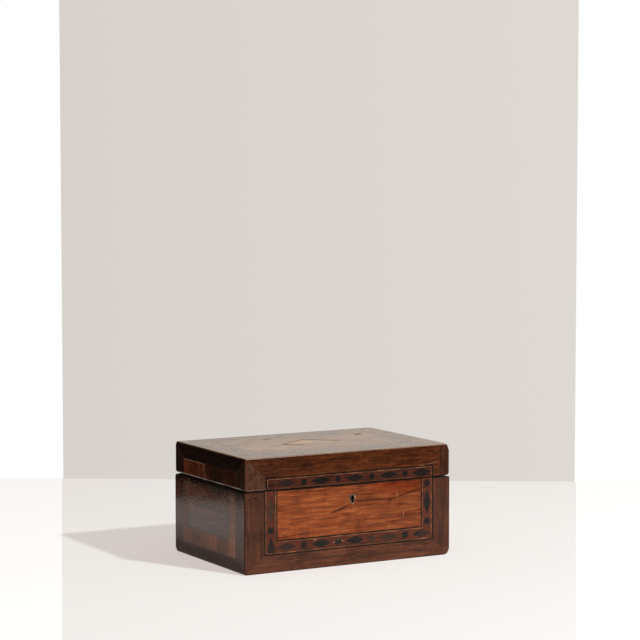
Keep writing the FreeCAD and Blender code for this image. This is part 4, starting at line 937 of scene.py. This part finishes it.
class KEEPSAKE_OT_back_veneers(bpy.types.Operator):
    """Finish the plain veneers of the back"""

    bl_idname = "keepsake.back_veneers"
    bl_label = "Back Veneers"

    def execute(self, context):
        woods = context.scene.box_woods
        wood = Veneer("back_veneer_wood")
        wood.lay(woods.back, streak=(130, 9), contrast=1.2, offset=33.0)
        dress(wood.polish(0.34, specular=0.3, ripple=(16, 9)), "back_veneer", "lid_back_veneer")
        return {"FINISHED"}


# Inside and metal

class KEEPSAKE_OT_carcass(bpy.types.Operator):
    """Finish the bare boards inside the box"""

    bl_idname = "keepsake.carcass"
    bl_label = "Carcass Boards"

    def execute(self, context):
        woods = context.scene.box_woods
        for name, across, up, nodes in (
            ("long_board_wood", "x", "z", ("front_board", "back_board", "lid_front_rail", "lid_back_rail")),
            ("end_board_wood", "y", "z", ("left_end_board", "right_end_board", "lid_left_rail", "lid_right_rail")),
            ("flat_board_wood", "x", "y", ("bottom_board", "lid_top_board")),
        ):
            wood = Veneer(name, across=across, up=up)
            wood.lay(woods.carcass, streak=(140, 8), offset=41.0, worn=0.6)
            rim = wood.fade(wood.apart(wood.z, MOUTH), 2.6, 2.1, 0.0, 0.92)
            wood.cover(rim, shade(woods.border, 0.3))
            dress(wood.polish(0.7, specular=0.3, swell=0.5), *nodes)
        return {"FINISHED"}


class KEEPSAKE_OT_metalwork(bpy.types.Operator):
    """Finish the hinges, the keyhole bush and the lock"""

    bl_idname = "keepsake.metalwork"
    bl_label = "Metalwork"

    def execute(self, context):
        woods = context.scene.box_woods
        parts = ("base_leaf", "lid_leaf", "pin")
        hinges = [f"{side}_hinge_{part}" for side in ("left", "right") for part in parts]
        self.metal("old_brass", woods.brass, 0.34, *hinges, "hinge_base_screws", "hinge_lid_screws", "lock_plate",
                   "link_plate")
        low, high = corners_mm("keyhole_bush")
        middle, level = (low.x + high.x) / 2, (low.z + high.z) / 2
        spots = ((0.06, (middle, level + 0.2), (3.5, 5.4)), (3.2, (high.x - 1, level + 2.2), (1.7, 3.4)),
                 (3.2, (middle + 1.6, low.z - 0.2), (3.2, 1.7)))
        self.metal("bush_brass", woods.bush, 0.55, "keyhole_bush", metallic=0.35, spots=spots)
        self.metal("dull_steel", woods.steel, 0.42, "lock_case", "key_pin", "lock_screws", "link_plate_screws",
                   "lock_bolt", "bolt_spring")
        return {"FINISHED"}

    def metal(self, name, colour, roughness, *nodes, metallic=1.0, spots=()):
        """A brushed and tarnished metal. Spots are shades of it, each with its centre and radii."""
        finish = Finish(name)
        tarnish = finish.blotches(4.5, 0.4, 0.66, detail=5, roughness=0.65)
        brushed = finish.noise(finish.sized((finish.x, 6.0), (finish.y, 0.3), (finish.z, 0.3)), 2)
        stops = ((0.0, 1.1), (0.55, 0.75), (1.0, 0.3))
        tone = finish.ramp(tarnish, [(place, shade(colour, amount)) for place, amount in stops])
        for amount, centre, radii in spots:
            tone = finish.marks(tone, shade(colour, amount), (centre, radii, 0), strength=0.85)
        rough = finish.math("MULTIPLY_ADD", tarnish, 0.25, roughness - 0.08)
        rough = finish.math("MULTIPLY_ADD", brushed, 0.12, rough)
        dress(finish.close(tone, rough, finish.times(brushed, 0.012), metallic=metallic), *nodes)


# Stage

class KEEPSAKE_OT_stage(bpy.types.Operator):
    """Set the table, the backdrop, the lamp and the camera"""

    bl_idname = "keepsake.stage"
    bl_label = "Stage"

    eye = Vector((-1.3178, -2.3514, 0.4958))
    gaze = Vector((0.49085, 0.86805, -0.07458)).normalized()
    right = Vector((0.8705, -0.492, 0.0))
    ahead = Vector((0.492, 0.8705, 0.0))
    picture, sensor = 640, 36.0
    left_column, right_column, near_row = 62, 576, 700
    back_rows, margin_columns = (478.5, 481.5), (-260, 900)
    margin_glow = 0.16
    key_way, key_distance, key_aim = Vector((0.30, -0.74, 0.60)).normalized(), 3.5, Vector((0, 0, 0.05))

    def execute(self, context):
        stage = context.scene.box_stage
        context.scene.view_settings.view_transform = "Standard"
        self.camera(context.scene, stage)
        self.world(context.scene, stage)
        self.table(stage)
        self.backdrop(stage)
        self.flags()
        self.lamp(context.scene, stage)
        return {"FINISHED"}

    def camera(self, scene, stage):
        data = bpy.data.cameras.new("camera")
        data.lens, data.sensor_width = stage.lens, self.sensor
        camera = bpy.data.objects.new("camera", data)
        camera.location = self.eye
        camera.rotation_euler = self.gaze.to_track_quat("-Z", "Y").to_euler()
        scene.collection.objects.link(camera)
        scene.camera = camera

    def ray(self, column, row, stage):
        """Direction from the camera through a place in the square picture."""
        side = self.gaze.cross(Vector((0, 0, 1))).normalized()
        focus, half = stage.lens / self.sensor * self.picture, self.picture / 2
        return self.gaze + side * ((column - half) / focus) - side.cross(self.gaze) * ((row - half) / focus)

    def ground(self, column, row, stage):
        """Place on the table that the picture shows there."""
        ray = self.ray(column, row, stage)
        return self.eye - ray * (self.eye.z / ray.z)

    def seen(self, tree):
        """1 for rays from the camera or from a reflection, else 0."""
        path = add_node(tree, "ShaderNodeLightPath").outputs
        total = path["Is Camera Ray"]
        for name in ("Is Glossy Ray", "Is Transmission Ray"):
            total = add_node(tree, "ShaderNodeMath", {0: total, 1: path[name]}, operation="MAXIMUM").outputs[0]
        return total

    def world(self, scene, stage):
        world = bpy.data.worlds.new("studio")
        world.use_nodes = True
        scene.world = world
        tree = world.node_tree
        tree.nodes.clear()
        fill = add_node(tree, "ShaderNodeBackground", {"Color": (1.0, 0.97, 0.94, 1.0), "Strength": stage.fill})
        pale = add_node(tree, "ShaderNodeBackground", {"Color": (1.0, 1.0, 1.0, 1.0)})
        mixed = add_node(tree, "ShaderNodeMixShader", {0: self.seen(tree), 1: fill.outputs[0], 2: pale.outputs[0]})
        add_node(tree, "ShaderNodeOutputWorld", {"Surface": mixed.outputs[0]})

    def surface(self, name, colour, glow):
        """A pale stage surface: part of its colour glows for the camera and reflections, the rest is lit."""
        material = bpy.data.materials.new(name)
        material.use_nodes = True
        tree = material.node_tree
        tree.nodes.clear()
        lit = add_node(tree, "ShaderNodeBsdfDiffuse", {"Color": (*colour, 1.0)})
        glowing = add_node(tree, "ShaderNodeEmission", {"Color": (*glow, 1.0), "Strength": self.seen(tree)})
        both = add_node(tree, "ShaderNodeAddShader", {0: lit.outputs[0], 1: glowing.outputs[0]})
        add_node(tree, "ShaderNodeOutputMaterial", {"Surface": both.outputs[0]})
        return material

    def sheet(self, name, points, material):
        """A flat stage surface through some points."""
        mesh = bpy.data.meshes.new(name)
        mesh.from_pydata(points, [], [tuple(range(len(points)))])
        mesh.materials.append(material)
        sheet = bpy.data.objects.new(name, mesh)
        bpy.context.scene.collection.objects.link(sheet)
        return sheet

    def table(self, stage):
        """The table between the photograph's two margins, and a whiter table on both sides of it."""
        back_left = self.ground(self.left_column, self.back_rows[0], stage)
        back_right = self.ground(self.right_column, self.back_rows[1], stage)
        near_left = self.ground(self.left_column, self.near_row, stage)
        near_right = self.ground(self.right_column, self.near_row, stage)
        far_left = self.ground(self.margin_columns[0], self.back_rows[0] - 1.5, stage)
        far_right = self.ground(self.margin_columns[1], self.back_rows[1] + 1.5, stage)
        out_left = near_left - self.right * 2.5 - self.ahead * 2
        out_right = near_right + self.right * 2.5 - self.ahead * 2
        self.sheet("table_top", [near_left, near_right, back_right, back_left],
                   self.surface("white_table", stage.floor, stage.shadow))
        paler = [channel + self.margin_glow for channel in stage.shadow]
        margin = self.surface("white_margin", stage.floor, paler)
        self.sheet("left_margin", [out_left, near_left, back_left, far_left], margin)
        self.sheet("right_margin", [near_right, out_right, far_right, back_right], margin)
        self.sheet("near_margin", [out_left, out_right, near_right, near_left], margin)

    def backdrop(self, stage):
        """A backdrop that fills the picture between its margins, a little darker to the left."""
        far, low, high = 1.75, -1.2, 1.6
        spots = []
        for column in (self.left_column, self.right_column):
            ray = self.ray(column, self.picture / 2, stage)
            spots.append(self.eye + ray * ((far - self.eye.dot(self.ahead)) / ray.dot(self.ahead)))
        material = self.surface("grey_backdrop", (0.02, 0.02, 0.02), stage.wall)
        tree = material.node_tree
        place = add_node(tree, "ShaderNodeTexCoord").outputs["Object"]
        across = add_node(tree, "ShaderNodeVectorMath", {0: place, 1: self.right}, operation="DOT_PRODUCT")
        left, right = (spot.dot(self.right) for spot in spots)
        share = add_node(tree, "ShaderNodeMapRange", {0: across.outputs["Value"], 1: left, 2: right})
        tone = add_node(tree, "ShaderNodeMix", data_type="RGBA", inputs={
            0: share.outputs[0], 6: shade(stage.wall, 0.93), 7: shade(stage.wall, 1.0),
        })
        glowing = next(node for node in tree.nodes if node.type == "EMISSION")
        tree.links.new(tone.outputs[2], glowing.inputs["Color"])
        corners = [Vector((spot.x, spot.y, level)) for spot, level in
                   ((spots[0], low), (spots[1], low), (spots[1], high), (spots[0], high))]
        self.sheet("backdrop", corners, material)

    def flags(self):
        """Black boards, unseen by the camera, that keep upper reflections on the front and the left end dark."""
        material = bpy.data.materials.new("black_flag")
        material.use_nodes = True
        shader = material.node_tree.nodes["Principled BSDF"].inputs
        shader["Base Color"].default_value = (0.01, 0.01, 0.01, 1.0)
        shader["Roughness"].default_value = 1.0
        tall = Vector((0, 0, 1.0))
        left = [self.right * -0.42 + self.ahead * far + Vector((0, 0, 0.020)) for far in (-0.4, 1.3)]
        front = [Vector((side, -0.445, 0.034)) for side in (-0.5, 0.9)]
        for name, (start, end) in (("left_flag", left), ("front_flag", front)):
            flag = self.sheet(name, [start, end, end + tall, start + tall], material)
            flag.visible_camera = flag.visible_diffuse = flag.visible_shadow = False

    def lamp(self, scene, stage):
        data = bpy.data.lights.new("key_lamp", "AREA")
        data.shape, data.size, data.energy = "DISK", stage.key_size, stage.key_power
        data.color = (1.0, 0.985, 0.96)
        lamp = bpy.data.objects.new("key_lamp", data)
        lamp.location = self.key_aim + self.key_way * self.key_distance
        lamp.rotation_euler = self.key_way.to_track_quat("Z", "Y").to_euler()
        scene.collection.objects.link(lamp)


class KEEPSAKE_PT_panel(bpy.types.Panel):
    """Steps that dress the box, with their colours and sizes"""

    bl_label = "Keepsake Box"
    bl_idname = "KEEPSAKE_PT_panel"
    bl_space_type = "VIEW_3D"
    bl_region_type = "UI"
    bl_category = "Keepsake Box"

    def draw(self, context):
        for group in (context.scene.box_woods, context.scene.box_wear, context.scene.box_stage):
            for name in group.__annotations__:
                self.layout.prop(group, name)
        for operator in STEPS:
            self.layout.operator(operator.bl_idname)


GROUPS = {"box_woods": WoodColours, "box_wear": BoxWear, "box_stage": BoxStage}
STEPS = (KEEPSAKE_OT_stage, KEEPSAKE_OT_cracked_panel, KEEPSAKE_OT_worn_pieces, KEEPSAKE_OT_front_veneers,
         KEEPSAKE_OT_end_veneers, KEEPSAKE_OT_top_veneers, KEEPSAKE_OT_back_veneers, KEEPSAKE_OT_carcass,
         KEEPSAKE_OT_metalwork)
CLASSES = (*GROUPS.values(), *STEPS, KEEPSAKE_PT_panel)


def register():
    for cls in CLASSES:
        bpy.utils.register_class(cls)
    for name, group in GROUPS.items():
        setattr(bpy.types.Scene, name, PointerProperty(type=group))


def unregister():
    for name in GROUPS:
        delattr(bpy.types.Scene, name)
    for cls in reversed(CLASSES):
        bpy.utils.unregister_class(cls)


def main():
    register()
    bpy.ops.keepsake.stage()
    bpy.ops.keepsake.cracked_panel()
    bpy.ops.keepsake.worn_pieces()
    bpy.ops.keepsake.front_veneers()
    bpy.ops.keepsake.end_veneers()
    bpy.ops.keepsake.top_veneers()
    bpy.ops.keepsake.back_veneers()
    bpy.ops.keepsake.carcass()
    bpy.ops.keepsake.metalwork()


if __name__ == "__main__":
    main()
